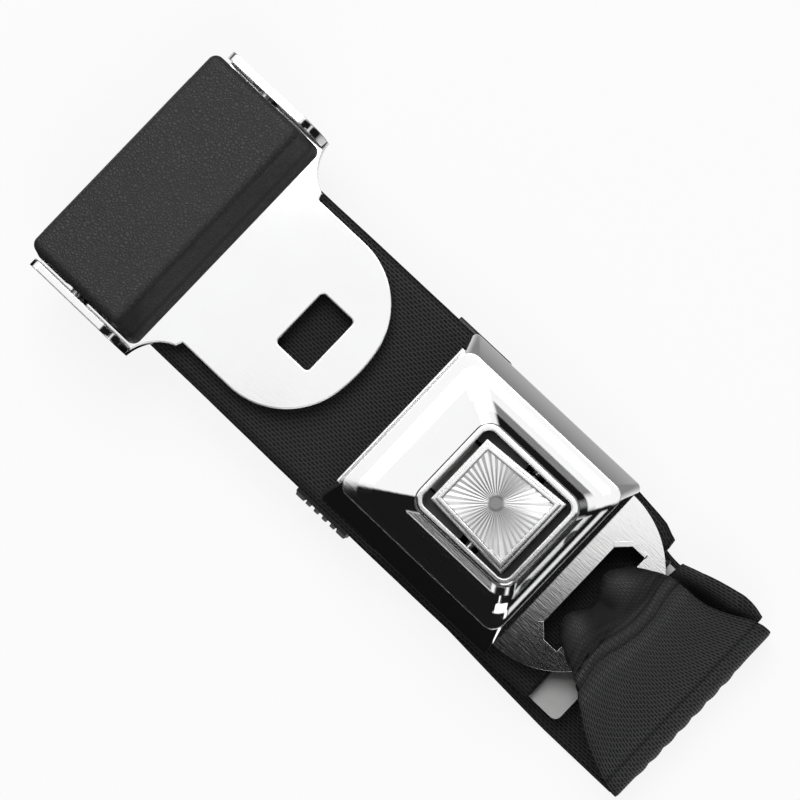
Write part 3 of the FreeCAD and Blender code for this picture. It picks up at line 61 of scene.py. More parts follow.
# Node helpers for materials
class Graph:
    """Short way to write a node tree: every method makes one node and returns its output."""

    def __init__(self, tree):
        self.tree = tree

    def node(self, kind, inputs=None, **settings):
        item = self.tree.nodes.new(kind)
        for name, value in settings.items():
            setattr(item, name, value)
        for name, value in (inputs or {}).items():
            self.feed(item.inputs[name], value)
        return item

    def feed(self, socket, value):
        if isinstance(value, bpy.types.NodeSocket):
            self.tree.links.new(value, socket)
        else:
            socket.default_value = value

    def math(self, operation, a, b=0.0, c=0.0):
        return self.node("ShaderNodeMath", {0: a, 1: b, 2: c}, operation=operation).outputs[0]

    def position(self):
        """Place on the part in millimetres, as x, y and z."""
        geometry = self.node("ShaderNodeTexCoord").outputs["Object"]
        return self.node("ShaderNodeVectorMath", {0: geometry, 1: (1000.0, 1000.0, 1000.0)},
                         operation="MULTIPLY").outputs[0]

    def split(self, vector):
        item = self.node("ShaderNodeSeparateXYZ", {0: vector})
        return item.outputs[0], item.outputs[1], item.outputs[2]

    def noise(self, vector, scale, detail, roughness):
        item = self.node("ShaderNodeTexNoise", {"Vector": vector, "Scale": scale, "Detail": detail,
                                                "Roughness": roughness})
        return item.outputs["Fac"]

    def remap(self, value, low, high, to_low=0.0, to_high=1.0):
        item = self.node("ShaderNodeMapRange", {"Value": value, "From Min": low, "From Max": high,
                                                "To Min": to_low, "To Max": to_high})
        return item.outputs["Result"]

    def mix_color(self, share, a, b):
        item = self.node("ShaderNodeMix", data_type="RGBA")
        self.feed(item.inputs["Factor"], share)
        self.feed(item.inputs["A"], a)
        self.feed(item.inputs["B"], b)
        return item.outputs["Result"]

    def bump(self, height, strength, distance, normal=None):
        inputs = {"Height": height, "Strength": strength, "Distance": distance}
        if normal is not None:
            inputs["Normal"] = normal
        return self.node("ShaderNodeBump", inputs).outputs["Normal"]


def local_middle(node_name):
    """Middle of a node in its own coordinates, in millimetres."""
    places = [vertex.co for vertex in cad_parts[node_name].data.vertices]
    return [(min(p[axis] for p in places) + max(p[axis] for p in places)) / 2 / MM for axis in range(3)]


def new_material(name):
    material = bpy.data.materials.new(name)
    material.use_nodes = True
    tree = material.node_tree
    tree.nodes.clear()
    graph = Graph(tree)
    shader = graph.node("ShaderNodeBsdfPrincipled")
    output = graph.node("ShaderNodeOutputMaterial")
    tree.links.new(shader.outputs[0], output.inputs[0])
    return material, graph, shader


def grey(level, warm=0.0):
    return (level * (1 + warm), level, level * (1 - warm), 1.0)


# Materials: edge rounding in metres, the other sizes in millimetres
EDGE_ROUND = 0.00045
SPOKES = 44
INSERT_AT = local_middle("button_insert")
DISC_RADIUS = 1.5
JOINT_DEPTH = 2.0
CAP_JOINT = local_middle("adjuster_cover")[2] - JOINT_DEPTH
WEAVE_ALONG = 1.3
WEAVE_ACROSS = 0.68


def chrome_material(name, level=0.86, rough=0.045, edge=EDGE_ROUND):
    """Polished chrome: faint polishing streaks and a few duller smudges."""
    material, g, shader = new_material(name)
    place = g.position()
    streaks = g.node("ShaderNodeMapping", {"Vector": place, "Scale": (0.25, 2.2, 1.0)}).outputs[0]
    fine = g.noise(streaks, 1.6, 4.0, 0.6)
    smudge = g.noise(place, 0.07, 3.0, 0.5)
    g.feed(shader.inputs["Base Color"], g.mix_color(smudge, grey(level, -0.005), grey(level * 0.94, 0.004)))
    shader.inputs["Metallic"].default_value = 1.0
    spread = g.math("MULTIPLY_ADD", fine, rough * 0.8, rough * 0.6)
    g.feed(shader.inputs["Roughness"], g.math("MULTIPLY_ADD", smudge, rough * 0.5, spread))
    waves = g.noise(place, 0.16, 2.0, 0.4)
    rounded = g.node("ShaderNodeBevel", {"Radius": edge}, samples=4).outputs[0]
    height = g.math("ADD", g.math("MULTIPLY", waves, 0.6), fine)
    g.feed(shader.inputs["Normal"], g.bump(height, 0.018, 0.0002, rounded))
    return material


def foil_material(name):
    """Bright foil round a plain grey disc, with painted reflection: light and dark spokes painted in for the
    light its radial flutes reflect.
    """
    material, g, shader = new_material(name)
    x, y = g.split(g.position())[:2]
    aside, ahead = g.math("SUBTRACT", y, INSERT_AT[1]), g.math("SUBTRACT", x, INSERT_AT[0])
    angle = g.math("ARCTAN2", aside, ahead)
    far = g.math("SQRT", g.math("ADD", g.math("MULTIPLY", aside, aside), g.math("MULTIPLY", ahead, ahead)))
    wave = g.math("SINE", g.math("MULTIPLY", angle, float(SPOKES)))
    uneven = g.noise(g.node("ShaderNodeCombineXYZ", {0: angle, 1: 0.0, 2: 0.0}).outputs[0], 6.0, 2.0, 0.6)
    dark_spoke_reflection = g.remap(g.math("MULTIPLY_ADD", uneven, 1.2, wave), -0.1, 0.9)
    disc = g.remap(far, DISC_RADIUS, DISC_RADIUS + 0.4)
    fade = g.remap(far, 2.0, 8.0, 1.0, 0.3)
    # Painted reflection: dark spokes between bright ones, weaker toward the rim
    color = g.mix_color(g.math("MULTIPLY", dark_spoke_reflection, fade), grey(0.95), grey(0.2))
    g.feed(shader.inputs["Base Color"], g.mix_color(disc, grey(0.25), color))
    shader.inputs["Metallic"].default_value = 0.4
    g.feed(shader.inputs["Roughness"], g.remap(dark_spoke_reflection, 0.0, 1.0, 0.24, 0.4))
    return material


def steel_material(name, level=0.5, rough=0.32):
    """Zinc-plated steel: brushed along the belt, slightly cloudy."""
    material, g, shader = new_material(name)
    place = g.position()
    lines = g.node("ShaderNodeMapping", {"Vector": place, "Scale": (0.12, 6.0, 6.0)}).outputs[0]
    fine = g.noise(lines, 1.4, 4.0, 0.65)
    cloud = g.noise(place, 0.12, 3.0, 0.5)
    g.feed(shader.inputs["Base Color"], g.mix_color(cloud, grey(level), grey(level * 0.8, 0.01)))
    shader.inputs["Metallic"].default_value = 1.0
    g.feed(shader.inputs["Roughness"], g.math("MULTIPLY_ADD", fine, 0.16, rough - 0.08))
    g.feed(shader.inputs["Normal"], g.bump(fine, 0.12, 0.00008))
    return material


def plastic_material(name, level=0.03, rough=0.5, grain=2.4, depth=0.00012):
    """Moulded plastic with a fine sanded texture."""
    material, g, shader = new_material(name)
    place = g.position()
    fine = g.noise(place, grain, 3.0, 0.6)
    cloud = g.noise(place, 0.1, 2.0, 0.5)
    g.feed(shader.inputs["Base Color"], g.mix_color(cloud, grey(level), grey(level * 1.35)))
    g.feed(shader.inputs["Roughness"], g.math("MULTIPLY_ADD", fine, 0.2, rough - 0.1))
    g.feed(shader.inputs["Normal"], g.bump(fine, 0.35, depth))
    return material


def leather_material(name):
    """Black cap with a moulded leather grain: irregular cells with shiny tops and dull creases."""
    material, g, shader = new_material(name)
    place = g.position()
    warp = g.node("ShaderNodeTexNoise", {"Vector": place, "Scale": 0.9, "Detail": 2.0}).outputs["Color"]
    bent = g.node("ShaderNodeVectorMath", {0: warp, 1: (0.9, 0.9, 0.9), 2: place},
                  operation="MULTIPLY_ADD").outputs[0]
    cells = g.node("ShaderNodeTexVoronoi", {"Vector": bent, "Scale": 1.35},
                   feature="DISTANCE_TO_EDGE").outputs["Distance"]
    pebble = g.remap(cells, 0.0, 0.32)
    small = g.node("ShaderNodeTexVoronoi", {"Vector": bent, "Scale": 2.9},
                   feature="DISTANCE_TO_EDGE").outputs["Distance"]
    fine = g.remap(small, 0.0, 0.3)
    height = g.math("ADD", g.math("MULTIPLY", pebble, 0.75), g.math("MULTIPLY", fine, 0.25))
    z = g.split(place)[2]
    joint = g.remap(g.math("ABSOLUTE", g.math("SUBTRACT", z, CAP_JOINT)), 1.0, 0.7)
    height = g.math("MULTIPLY", height, g.math("SUBTRACT", 1.0, joint))
    cloud = g.noise(place, 0.08, 2.0, 0.5)
    tone = g.mix_color(height, grey(0.007), grey(0.03))
    g.feed(shader.inputs["Base Color"], g.mix_color(g.math("MULTIPLY", cloud, 0.3), tone, grey(0.03)))
    g.feed(shader.inputs["Roughness"], g.remap(height, 0.0, 1.0, 0.62, 0.4))
    shader.inputs["Specular IOR Level"].default_value = 0.4
    g.feed(shader.inputs["Normal"], g.bump(height, 0.55, 0.00018))
    return material


def webbing_material(name):
    """Woven webbing. The strap attribute holds millimetres along the strap and across it, and a painted shade
    that darkens the weave in creases, hollows and covered layers.
    """
    material, g, shader = new_material(name)
    strap = g.node("ShaderNodeAttribute", attribute_name="strap").outputs["Vector"]
    along, across, shade = g.split(strap)
    flat = g.node("ShaderNodeCombineXYZ", {0: along, 1: across}).outputs[0]
    wander = g.noise(flat, 0.3, 2.0, 0.5)
    rows = g.math("DIVIDE", across, WEAVE_ACROSS)
    row = g.math("FLOOR", rows)
    inside = g.math("FRACT", rows)
    shift = g.math("MULTIPLY_ADD", inside, 0.2, g.math("MULTIPLY", row, 0.43))
    phase = g.math("ADD", g.math("MULTIPLY_ADD", wander, 0.7, g.math("DIVIDE", along, WEAVE_ALONG)), shift)
    far = g.math("ABSOLUTE", g.math("SUBTRACT", g.math("FRACT", phase), 0.5))
    stroke = g.remap(far, 0.42, 0.32)
    beside = g.remap(g.math("ABSOLUTE", g.math("SUBTRACT", inside, 0.5)), 0.22, 0.06)
    hollow = g.math("MULTIPLY", stroke, beside)
    grit = g.noise(flat, 3.0, 2.0, 0.6)
    height = g.math("MULTIPLY_ADD", grit, 0.25, g.math("SUBTRACT", 1.0, hollow))
    tone = g.remap(height, 0.3, 1.1)
    cloud = g.noise(flat, 0.07, 3.0, 0.5)
    color = g.mix_color(tone, grey(0.0006), grey(0.05, -0.01))
    color = g.mix_color(g.math("MULTIPLY", cloud, 0.2), color, grey(0.022))
    # Painted shade: where the shade value is low the weave is mixed toward black
    g.feed(shader.inputs["Base Color"], g.mix_color(shade, grey(0.0012), color))
    g.feed(shader.inputs["Roughness"], g.remap(tone, 0.0, 1.0, 0.9, 0.55))
    shader.inputs["Specular IOR Level"].default_value = 0.22
    g.feed(shader.inputs["Normal"], g.bump(height, 1.0, 0.00026))
    return material


MATERIALS = {
    "chrome": chrome_material("chrome_plate"),
    "thin_chrome": chrome_material("chrome_sheet", edge=EDGE_ROUND / 4),
    "insert": foil_material("foil_with_painted_reflection"),
    "steel": steel_material("plated_steel"),
    "spring": steel_material("spring_steel", 0.3, 0.3),
    "plastic": plastic_material("black_plastic"),
    "rubber": plastic_material("keeper_rubber", 0.018, 0.42, 3.0),
    "cap": leather_material("grained_cap"),
    "webbing": webbing_material("woven_webbing"),
}

NODE_MATERIALS = {
    "tongue_plate": "chrome", "buckle_cover": "chrome", "button_frame": "chrome",
    "buckle_base": "thin_chrome", "button_insert": "insert", "push_button": "plastic",
    "tongue_anchor_plate": "steel", "buckle_anchor_plate": "steel", "lock_bar": "steel", "latch": "steel",
    "latch_pin": "steel", "spring_post": "steel", "base_rivets": "steel",
    "cap_spring": "spring", "latch_spring": "spring", "button_springs": "spring", "ejector_spring": "spring",
    "ejector": "plastic", "webbing_keeper": "rubber", "adjuster_cover": "cap",
    "tongue_webbing": "webbing", "buckle_strap": "webbing",
}


def dress(piece, key):
    """Give every slot of a piece one material."""
    slots = piece.material_slots
    if not slots:
        piece.data.materials.append(MATERIALS[key])
    for item in slots:
        item.material = MATERIALS[key]


for node_name, key in NODE_MATERIALS.items():
    dress(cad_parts[node_name], key)


# Webbing: both straps again as cloth, with their own coordinates for the weave, in millimetres
WIDTH = 48.6
THICK = 1.3
SIDE = -1.5
WEAVE_START = 200.0
LOOP_MIDDLE = -4.2
LOOP_HALF = 15.9
PUFF_FULL = 57.0
PUFF_END = 62.4
HUMP_HEIGHT = 3.3
NECK_AT = 62.9
FOLD_AT = 80.7

# Heights of the webbing's middle line
TABLE_LEVEL = THICK / 2
PLATE_LEVEL = 2.15
LAYER_STEP = 1.5
FIRST_LAYER = 6.75
SECOND_LAYER = FIRST_LAYER + LAYER_STEP
THIRD_LAYER = SECOND_LAYER + LAYER_STEP
DECK_UNDER = 12.15
DECK_OVER = DECK_UNDER + LAYER_STEP
BAR_LEVEL = 22.95
TAB_UNDER = 12.25
TAB_OVER = 16.85

# Places along the belt where the webbing turns
TONGUE_PLATE_SLOT = 26.5
BUCKLE_PLATE_SLOT = -19.3
LAYER_FOLD_REAR = -36.35
LAYER_FOLD_FRONT = 56.55
TAB_SLOT = 54.7
REAR_FOLD = -83.85
FRONT_FOLD = 83.85

# Middle lines seen from the side: x, z and the radius of the bend there
TONGUE_ROUTE = [
    (14.5, FIRST_LAYER, 0), (TONGUE_PLATE_SLOT, FIRST_LAYER, 1.0), (TONGUE_PLATE_SLOT, PLATE_LEVEL, 1.0),
    (4.35, PLATE_LEVEL, 2.0), (1.5, 3.65, 2.0), (-5.25, 3.65, 4.0), (-10.95, FIRST_LAYER, 4.0),
    (LAYER_FOLD_REAR, FIRST_LAYER, 0.75), (LAYER_FOLD_REAR, SECOND_LAYER, 0.75),
    (LAYER_FOLD_FRONT, SECOND_LAYER, 0.75), (LAYER_FOLD_FRONT, THIRD_LAYER, 0.75),
    (19.3, THIRD_LAYER, 4.0), (11.5, DECK_UNDER, 4.0), (-75.85, DECK_UNDER, 0.75), (-75.85, DECK_OVER, 0.75),
    (-65.65, DECK_OVER, 1.0), (-65.65, BAR_LEVEL, 3.35), (REAR_FOLD, BAR_LEVEL, 6.6),
    (REAR_FOLD, THIRD_LAYER, 6.6), (10.0, THIRD_LAYER, 0),
]
BUCKLE_ROUTE = [
    (0.3, PLATE_LEVEL, 0), (-6.7, PLATE_LEVEL, 4.0), (-12.3, 5.25, 4.0),
    (BUCKLE_PLATE_SLOT, 5.25, 1.0), (BUCKLE_PLATE_SLOT, TABLE_LEVEL, 1.0),
    (FRONT_FOLD, TABLE_LEVEL, 3.9), (FRONT_FOLD, 8.34, 3.9), (67.1, TAB_OVER, 4.0),
    (TAB_SLOT, TAB_OVER, 1.0), (TAB_SLOT, TAB_UNDER, 1.0), (57.9, TAB_UNDER, 4.0), (71.3, 7.7, 4.0),
    (80.6, 5.4, 0),
]


def smooth(low, high, value):
    t = min(1.0, max(0.0, (value - low) / (high - low)))
    return t * t * (3 - 2 * t)


def walk(route, straight_step, bend_step=math.radians(15)):
    """Points along a route with round corners: (x, z, distance)."""
    points = [Vector(mark[:2]) for mark in route]
    path = [points[0]]
    for index in range(1, len(points) - 1):
        before, here, after = points[index - 1], points[index], points[index + 1]
        along, onward = (here - before).normalized(), (after - here).normalized()
        turn = along.angle(onward)
        radius = route[index][2]
        reach = radius * math.tan(turn / 2)
        start = here - along * reach
        side = 1 if along.x * onward.y - along.y * onward.x > 0 else -1
        center = start + Vector((-along.y, along.x)) * side * radius
        count = max(2, math.ceil(turn / bend_step))
        for step in range(count + 1):
            angle = side * turn * step / count
            arm = start - center
            path.append(center + Vector((arm.x * math.cos(angle) - arm.y * math.sin(angle),
                                         arm.x * math.sin(angle) + arm.y * math.cos(angle))))
    path.append(points[-1])
    dense = [path[0]]
    for point in path[1:]:
        gap = (point - dense[-1]).length
        if gap < 1e-6:
            continue
        count = max(1, math.ceil(gap / straight_step))
        origin = dense[-1]
        for step in range(1, count + 1):
            dense.append(origin.lerp(point, step / count))
    result = []
    travelled = 0.0
    for index, point in enumerate(dense):
        if index:
            travelled += (point - dense[index - 1]).length
        result.append((point.x, point.y, travelled))
    return result


def strap_piece(name, route, shape, columns, straight_step):
    """Closed strap mesh. shape(x, z, s, t) gives (dx, y, dz, shade) for a place t across, from -1 to 1; shade
    is a painted shade, kept in the strap attribute.
    """
    path = walk(route, straight_step)
    rows, shades = [], []
    for x, z, s in path:
        row, row_painted_shades = [], []
        for column in range(columns + 1):
            t = 2 * column / columns - 1
            dx, y, dz, shade = shape(x, z, s, t)
            row.append(Vector((x + dx, y, z + dz)))
            row_painted_shades.append(shade)
        rows.append(row)
        shades.append(row_painted_shades)
    verts, marks = [], []
    grids = []
    for side in (1, -1):
        grid = []
        for i, row in enumerate(rows):
            ids = []
            for j, point in enumerate(row):
                ahead = rows[min(i + 1, len(rows) - 1)][j] - rows[max(i - 1, 0)][j]
                over = row[min(j + 1, columns)] - row[max(j - 1, 0)]
                normal = over.cross(ahead).normalized()
                t = 2 * j / columns - 1
                slim = 1.0 - 0.35 * smooth(0.965, 1.0, abs(t))
                place = point + normal * side * THICK / 2 * slim
                ids.append(len(verts))
                verts.append(place * MM)
                marks.append((path[i][2], t * WIDTH / 2 + WEAVE_START, shades[i][j]))
            grid.append(ids)
        grids.append(grid)
    faces = []
    top, bottom = grids
    for i in range(len(rows) - 1):
        for j in range(columns):
            faces.append((top[i][j], top[i][j + 1], top[i + 1][j + 1], top[i + 1][j]))
            faces.append((bottom[i][j], bottom[i + 1][j], bottom[i + 1][j + 1], bottom[i][j + 1]))
        faces.append((top[i][0], top[i + 1][0], bottom[i + 1][0], bottom[i][0]))
        faces.append((top[i][columns], bottom[i][columns], bottom[i + 1][columns], top[i + 1][columns]))
    for i, flip in ((0, False), (len(rows) - 1, True)):
        for j in range(columns):
            face = (top[i][j], bottom[i][j], bottom[i][j + 1], top[i][j + 1])
            faces.append(face[::-1] if flip else face)
    mesh = bpy.data.meshes.new(name)
    mesh.from_pydata([tuple(v) for v in verts], [], faces)
    layer = mesh.attributes.new("strap", "FLOAT_VECTOR", "POINT")
    for index, mark in enumerate(marks):
        layer.data[index].vector = mark
    mesh.validate()
    bm = bmesh.new()
    bm.from_mesh(mesh)
    bmesh.ops.recalc_face_normals(bm, faces=bm.faces)
    bm.to_mesh(mesh)
    bm.free()
    for polygon in mesh.polygons:
        polygon.use_smooth = True
    item = bpy.data.objects.new(name, mesh)
    scene.collection.objects.link(item)
    mesh.materials.append(MATERIALS["webbing"])
    return item, path[-1][2]


def straight_at(marks, x):
    """Height of a polyline given as (x, y) marks, level beyond its ends."""
    if x <= marks[0][0]:
        return marks[0][1]
    for (x0, y0), (x1, y1) in zip(marks, marks[1:]):
        if x <= x1:
            return y0 + (y1 - y0) * (x - x0) / (x1 - x0)
    return marks[-1][1]


def edge_at(marks, x):
    """The same with its corners rounded off."""
    return sum(straight_at(marks, x + step) for step in (-2.0, -1.0, 0.0, 1.0, 2.0)) / 5


def across(low_marks, high_marks, x, t):
    """Place t, from -1 to 1, between a strap's two edges."""
    low, high = edge_at(low_marks, x), edge_at(high_marks, x)
    return low + (high - low) * (t + 1) / 2


def bell(value, middle, width):
    return math.exp(-((value - middle) / width) ** 2)


# Edges of the buckle's strap and of the folded layers, as marks of x and y
FLAT_LOW = [(30.0, -25.8), (50.0, -26.8), (63.0, -27.3), (84.0, -27.2)]
FLAT_HIGH = [(30.0, 22.8), (46.0, 20.6), (58.0, 17.6), (66.0, 17.6), (83.0, 20.0)]
LAYER_LOW = [(40.0, -25.8), (55.0, -25.2)]
LAYER_HIGH = [(40.0, 22.8), (54.0, 21.6), (56.4, 20.7), (57.6, 19.0)]
UPPER_LOW = [(55.0, -11.0), (57.0, -13.2), (61.8, -14.8), (66.0, -18.0), (71.0, -22.1), (78.0, -25.6),
             (83.0, -27.2)]
UPPER_HIGH = [(55.0, 9.4), (57.5, 11.4), (62.2, 13.9), (67.4, 13.9), (71.8, 14.4), (77.1, 17.1), (81.4, 19.8),
              (83.0, 20.0)]
LOWER_LOW = [(54.0, -12.0), (60.0, -12.6), (71.0, -19.0), (81.0, -25.0)]
LOWER_HIGH = [(54.0, 11.2), (57.0, 13.6), (59.5, 16.8), (64.9, 18.4), (70.0, 20.2), (77.0, 21.9),
              (82.0, 20.8)]
# Creases across the gathered part: x, depth and width
CREASES = [(59.0, 0.35, 0.35), (60.4, 0.5, 0.35), (61.9, 1.0, 0.5), (64.3, 0.9, 0.45), (65.6, 0.3, 0.3)]


def tongue_shape(x, z, s, t):
    """Flat strap, narrowed where it goes through its anchor plate."""
    loop = smooth(16.0, 19.5, x) * smooth(35.0, 31.5, x) * smooth(60.0, 52.0, s)
    y = across(LAYER_LOW, LAYER_HIGH, x if z < 12 else 0.0, t)
    y += (LOOP_MIDDLE + t * LOOP_HALF - y) * loop
    sway = 0.25 * math.sin(s / 31.0 + 0.6) * smooth(11.9, 11.2, z)
    lift = 0.12 * smooth(0.9, 1.0, abs(t)) * math.sin(s / 4.7 + t)
    # Painted shade: lower layers darker than the top run, darker still in the tongue's window and under the
    # buckle's strap
    shade = 0.3 + 0.14 * smooth(10.5, 12.0, z)
    if -42.0 < x < -24.0 and abs(y - SIDE) < 10.0:
        shade = 0.2
    if 44.0 < x < 60.0 and abs(t) < 0.7:
        shade = 0.03
    return 0.0, y + sway, lift if z < 14 else 0.0, shade


def pleats(t):
    """Two humps across the gathered strap with a valley between them."""
    far = min(1.0, abs((abs(t + 0.03) - 0.56) / 0.47))
    return math.cos(math.pi / 2 * far) ** 2


def upper_shape(x, z, t):
    """The strap from the tab's slot to the fold: humps, creases, a flat fan and the rounded fold, with
    painted shade in the valley and creases.
    """
    crumple = noise.noise(Vector((x * 0.09, t * 2.2, 3.0)))
    hump = pleats(t)
    y = across(UPPER_LOW, UPPER_HIGH, x, t)
    puff = smooth(PUFF_END, PUFF_FULL, x)
    bend = 0.5 * t + 0.7 * math.sin(4.2 * t + 0.6) + 0.5 * crumple
    lift = puff * (HUMP_HEIGHT * hump + 0.4) + 0.18 * crumple
    # Painted shade: darker in the valley between the humps, a touch lighter on their tops, and darker along
    # each crease
    shade = 1.0 - 0.9 * puff * (1.0 - hump) + 0.1 * puff * hump
    for crease, depth, width in CREASES:
        line = bell(x, crease + bend, width)
        lift -= 0.5 * depth * line
        shade -= 0.9 * depth * line
    # Ridge at the neck, the rise over the slot's edge, the fan's crown, and the crease before the fold
    lift += 0.9 * bell(x, NECK_AT + bend, 0.8) + 0.5 * smooth(61.0, 60.0, x) * smooth(56.0, 58.0, x)
    lift += 1.2 * smooth(64.4 + bend, 67.5 + bend, x) * smooth(80.0, 70.0, x)
    lift -= 0.7 * bell(x, FOLD_AT, 0.6)
    # Loose waves in the fan
    lift += 0.4 * crumple * math.sin(t * 5.0 + x * 0.3) * smooth(66.0, 70.0, x) * smooth(82.0, 76.0, x)
    # Painted shade in the crease before the fold and along the strap's edges
    shade -= 0.6 * bell(x, FOLD_AT, 0.4) + 0.3 * smooth(0.88, 1.0, abs(t))
    # Small scallops along the fold
    push = -0.5 * puff * hump
    if z < 7.0:
        bumps = abs(math.sin(t * 17.0 + 0.4)) * smooth(-0.85, -0.6, t) * smooth(0.7, 0.4, t)
        push += 0.35 * bumps * smooth(6.8, 4.6, z) * smooth(1.2, 3.0, z)
    return push, y, max(lift, 0.0), max(shade, 0.05)


def buckle_shape(x, z, s, t):
    """Flat below, gathered into two pleats in the tab's slot and fanned out to the fold, with painted shade
    where it runs under, into and below the tab.
    """
    if s < 24.0 or (x < 50.0 and z < 8.0) or z < 1.6:
        y = across(FLAT_LOW, FLAT_HIGH, x, t)
        loop = smooth(-30.0, -24.0, x) * smooth(-8.0, -12.5, x)
        # Painted shade: the flat run underneath is dimmed
        return 0.0, y + (LOOP_MIDDLE + t * LOOP_HALF - y) * loop, 0.0, 0.35
    if z > 16.0 or (x > 60.0 and s < 175.0):
        return upper_shape(x, z, t)
    hump = pleats(t)
    if x < 55.5:
        rise = smooth(12.6, 16.4, z)
        # Painted shade: dark where the strap goes down into the slot, least on the humps
        shade = smooth(14.2, 17.0, z) * (0.25 + 0.75 * hump)
        return -2.6 * hump * rise, across(UPPER_LOW, UPPER_HIGH, x, t), 0.0, shade
    y = across(LOWER_LOW, LOWER_HIGH, x, t)
    near_edge = smooth(0.45, 1.0, t)
    edge_lift = 5.0 * near_edge * smooth(59.0, 67.0, x) * smooth(82.0, 75.0, x)
    # Painted shade: the lower run is dark except near its +y edge
    return 0.0, y, edge_lift, 0.12 + 0.6 * smooth(0.8, 0.95, t)


tongue_cloth, tongue_length = strap_piece("tongue_webbing_cloth", TONGUE_ROUTE, tongue_shape, 24, 2.4)
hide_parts("tongue_webbing")
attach(tongue_cloth, "belt")

buckle_cloth, buckle_length = strap_piece("buckle_strap_cloth", BUCKLE_ROUTE, buckle_shape, 72, 0.55)
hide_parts("buckle_strap")
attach(buckle_cloth, "belt")


# Floor: white to the camera; painted reflection: what gloss sees in it is dark on one side of the part and
# fades on the other, in metres
FLOOR_DROP = 0.0002
FLOOR_GLOW = 0.86
PAINTED_DARK_REFLECTION_EDGE = -0.03
PAINTED_DARK_REFLECTION_SOFT = 0.004
FADE_START = 0.028
FADE_END = 0.042
FADE_LEAST = 0.3

# World: a big white sheet, a band and a strip that gloss sees, as parts of the direction
SHEET_EDGE = -0.074
SHEET_SOFT = 0.012
GLOSS_LIGHT = 1.1
SOFT_LIGHT = 0.3
WHITE = (1.0, 1.0, 1.0, 1.0)


def make_floor():
    bm = bmesh.new()
    bmesh.ops.create_grid(bm, x_segments=1, y_segments=1, size=3.0)
    mesh = bpy.data.meshes.new("floor")
    bm.to_mesh(mesh)
    bm.free()
    item = bpy.data.objects.new("floor", mesh)
    item.location.z = -FLOOR_DROP
    scene.collection.objects.link(item)
    material = bpy.data.materials.new("floor_white")
    material.use_nodes = True
    tree = material.node_tree
    tree.nodes.clear()
    g = Graph(tree)
    # Painted reflection: the paper turns black for glossy rays, so metal reflects a dark floor wherever the
    # glow is held back
    shown = g.math("SUBTRACT", 1.0, g.node("ShaderNodeLightPath").outputs["Is Glossy Ray"])
    paper = g.node("ShaderNodeBsdfDiffuse", {"Color": g.mix_color(shown, grey(0.008), grey(0.9))}).outputs[0]
    light = g.node("ShaderNodeEmission", {"Color": WHITE, "Strength": 1.0}).outputs[0]
    path = g.node("ShaderNodeLightPath")
    seen = g.math("MAXIMUM", path.outputs["Is Camera Ray"], path.outputs["Is Glossy Ray"])
    seen = g.math("MAXIMUM", seen, path.outputs["Is Transmission Ray"])
    y = g.split(g.node("ShaderNodeTexCoord").outputs["Object"])[1]
    # Painted reflection: glossy rays see no glow on the -y side beyond the edge, and less glow far out on the
    # +y side
    painted_reflection_mask = g.remap(y, PAINTED_DARK_REFLECTION_EDGE, PAINTED_DARK_REFLECTION_EDGE + PAINTED_DARK_REFLECTION_SOFT)
    painted_reflection_mask = g.math("MULTIPLY", painted_reflection_mask, g.remap(y, FADE_START, FADE_END, 1.0, FADE_LEAST))
    dimmed = g.math("MAXIMUM", path.outputs["Is Camera Ray"], painted_reflection_mask)
    share = g.math("MULTIPLY", g.math("MULTIPLY", seen, FLOOR_GLOW), dimmed)
    mixed = g.node("ShaderNodeMixShader", {0: share, 1: paper, 2: light}).outputs[0]
    output = g.node("ShaderNodeOutputMaterial")
    tree.links.new(mixed, output.inputs[0])
    mesh.materials.append(material)


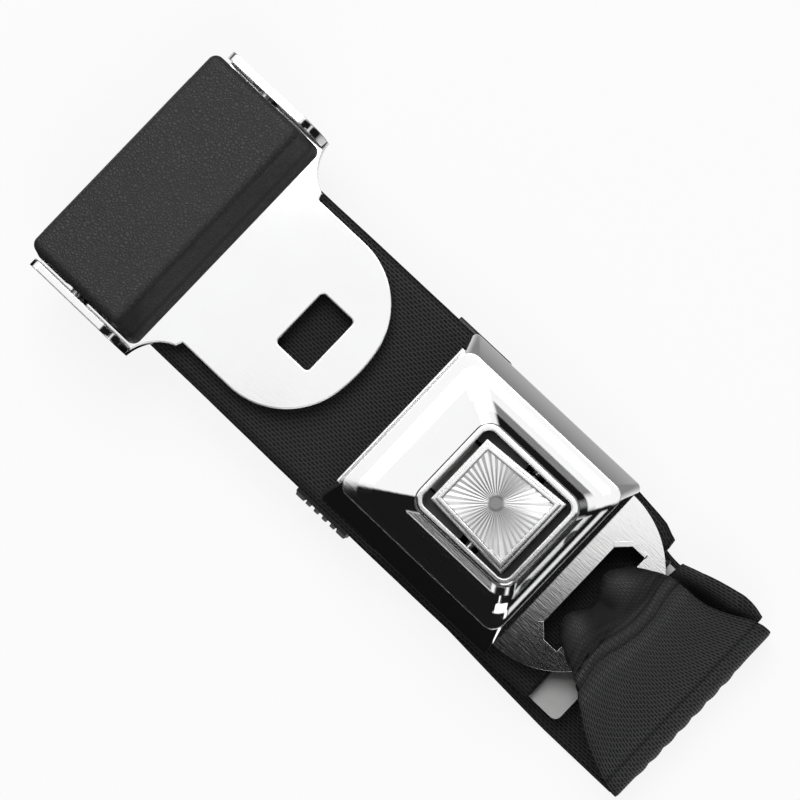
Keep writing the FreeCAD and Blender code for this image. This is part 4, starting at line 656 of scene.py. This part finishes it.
def make_world():
    """White for the camera, even for plain surfaces, and for gloss a big white sheet with a dark side."""
    world = bpy.data.worlds.new("studio")
    world.use_nodes = True
    tree = world.node_tree
    tree.nodes.clear()
    g = Graph(tree)
    path = g.node("ShaderNodeLightPath")
    direction = g.node("ShaderNodeTexCoord").outputs["Generated"]
    x, y, z = g.split(direction)
    edge = g.math("SUBTRACT", g.math("MULTIPLY", x, 0.5), y)
    sheet_light = g.remap(edge, SHEET_EDGE + SHEET_SOFT, SHEET_EDGE - SHEET_SOFT)
    above = g.remap(z, 0.28, 0.46)
    band = g.math("MULTIPLY", g.remap(z, 0.7, 0.73), g.remap(z, 0.82, 0.79))
    side = g.math("MULTIPLY", band, g.remap(x, 0.4, 0.46))
    side = g.math("MULTIPLY", side, g.remap(g.math("ABSOLUTE", y), 0.2, 0.12))
    strip = g.math("MULTIPLY", g.remap(z, 0.2, 0.23), g.remap(z, 0.33, 0.3))
    strip = g.math("MULTIPLY", strip, g.remap(y, -0.4, -0.55))
    lit = g.math("MAXIMUM", g.math("MULTIPLY", sheet_light, above), g.math("MULTIPLY", side, 0.85))
    lit = g.math("MAXIMUM", lit, strip)
    level = g.math("MULTIPLY_ADD", lit, GLOSS_LIGHT, 0.01)
    seen = g.math("MAXIMUM", path.outputs["Is Camera Ray"], path.outputs["Is Transmission Ray"])
    gloss = g.node("ShaderNodeBackground", {"Color": WHITE, "Strength": level}).outputs[0]
    soft = g.node("ShaderNodeBackground", {"Color": WHITE, "Strength": SOFT_LIGHT}).outputs[0]
    white = g.node("ShaderNodeBackground", {"Color": WHITE, "Strength": 1.0}).outputs[0]
    plain = g.node("ShaderNodeMixShader", {0: path.outputs["Is Glossy Ray"], 1: soft, 2: gloss}).outputs[0]
    mixed = g.node("ShaderNodeMixShader", {0: seen, 1: plain, 2: white}).outputs[0]
    output = g.node("ShaderNodeOutputWorld")
    tree.links.new(mixed, output.inputs[0])
    scene.world = world


def area_light(name, at, size, power):
    """Square lamp that points at the part."""
    data = bpy.data.lights.new(name, "AREA")
    data.shape = "SQUARE"
    data.size = size
    data.energy = power
    item = bpy.data.objects.new(name, data)
    item.location = at
    item.rotation_euler = (-Vector(at)).to_track_quat("-Z", "Y").to_euler()
    scene.collection.objects.link(item)


make_floor()
make_world()
area_light("key", (-0.5, 0.5, 1.1), 0.9, 9.0)
area_light("fill", (0.6, -0.5, 0.9), 0.7, 3.5)
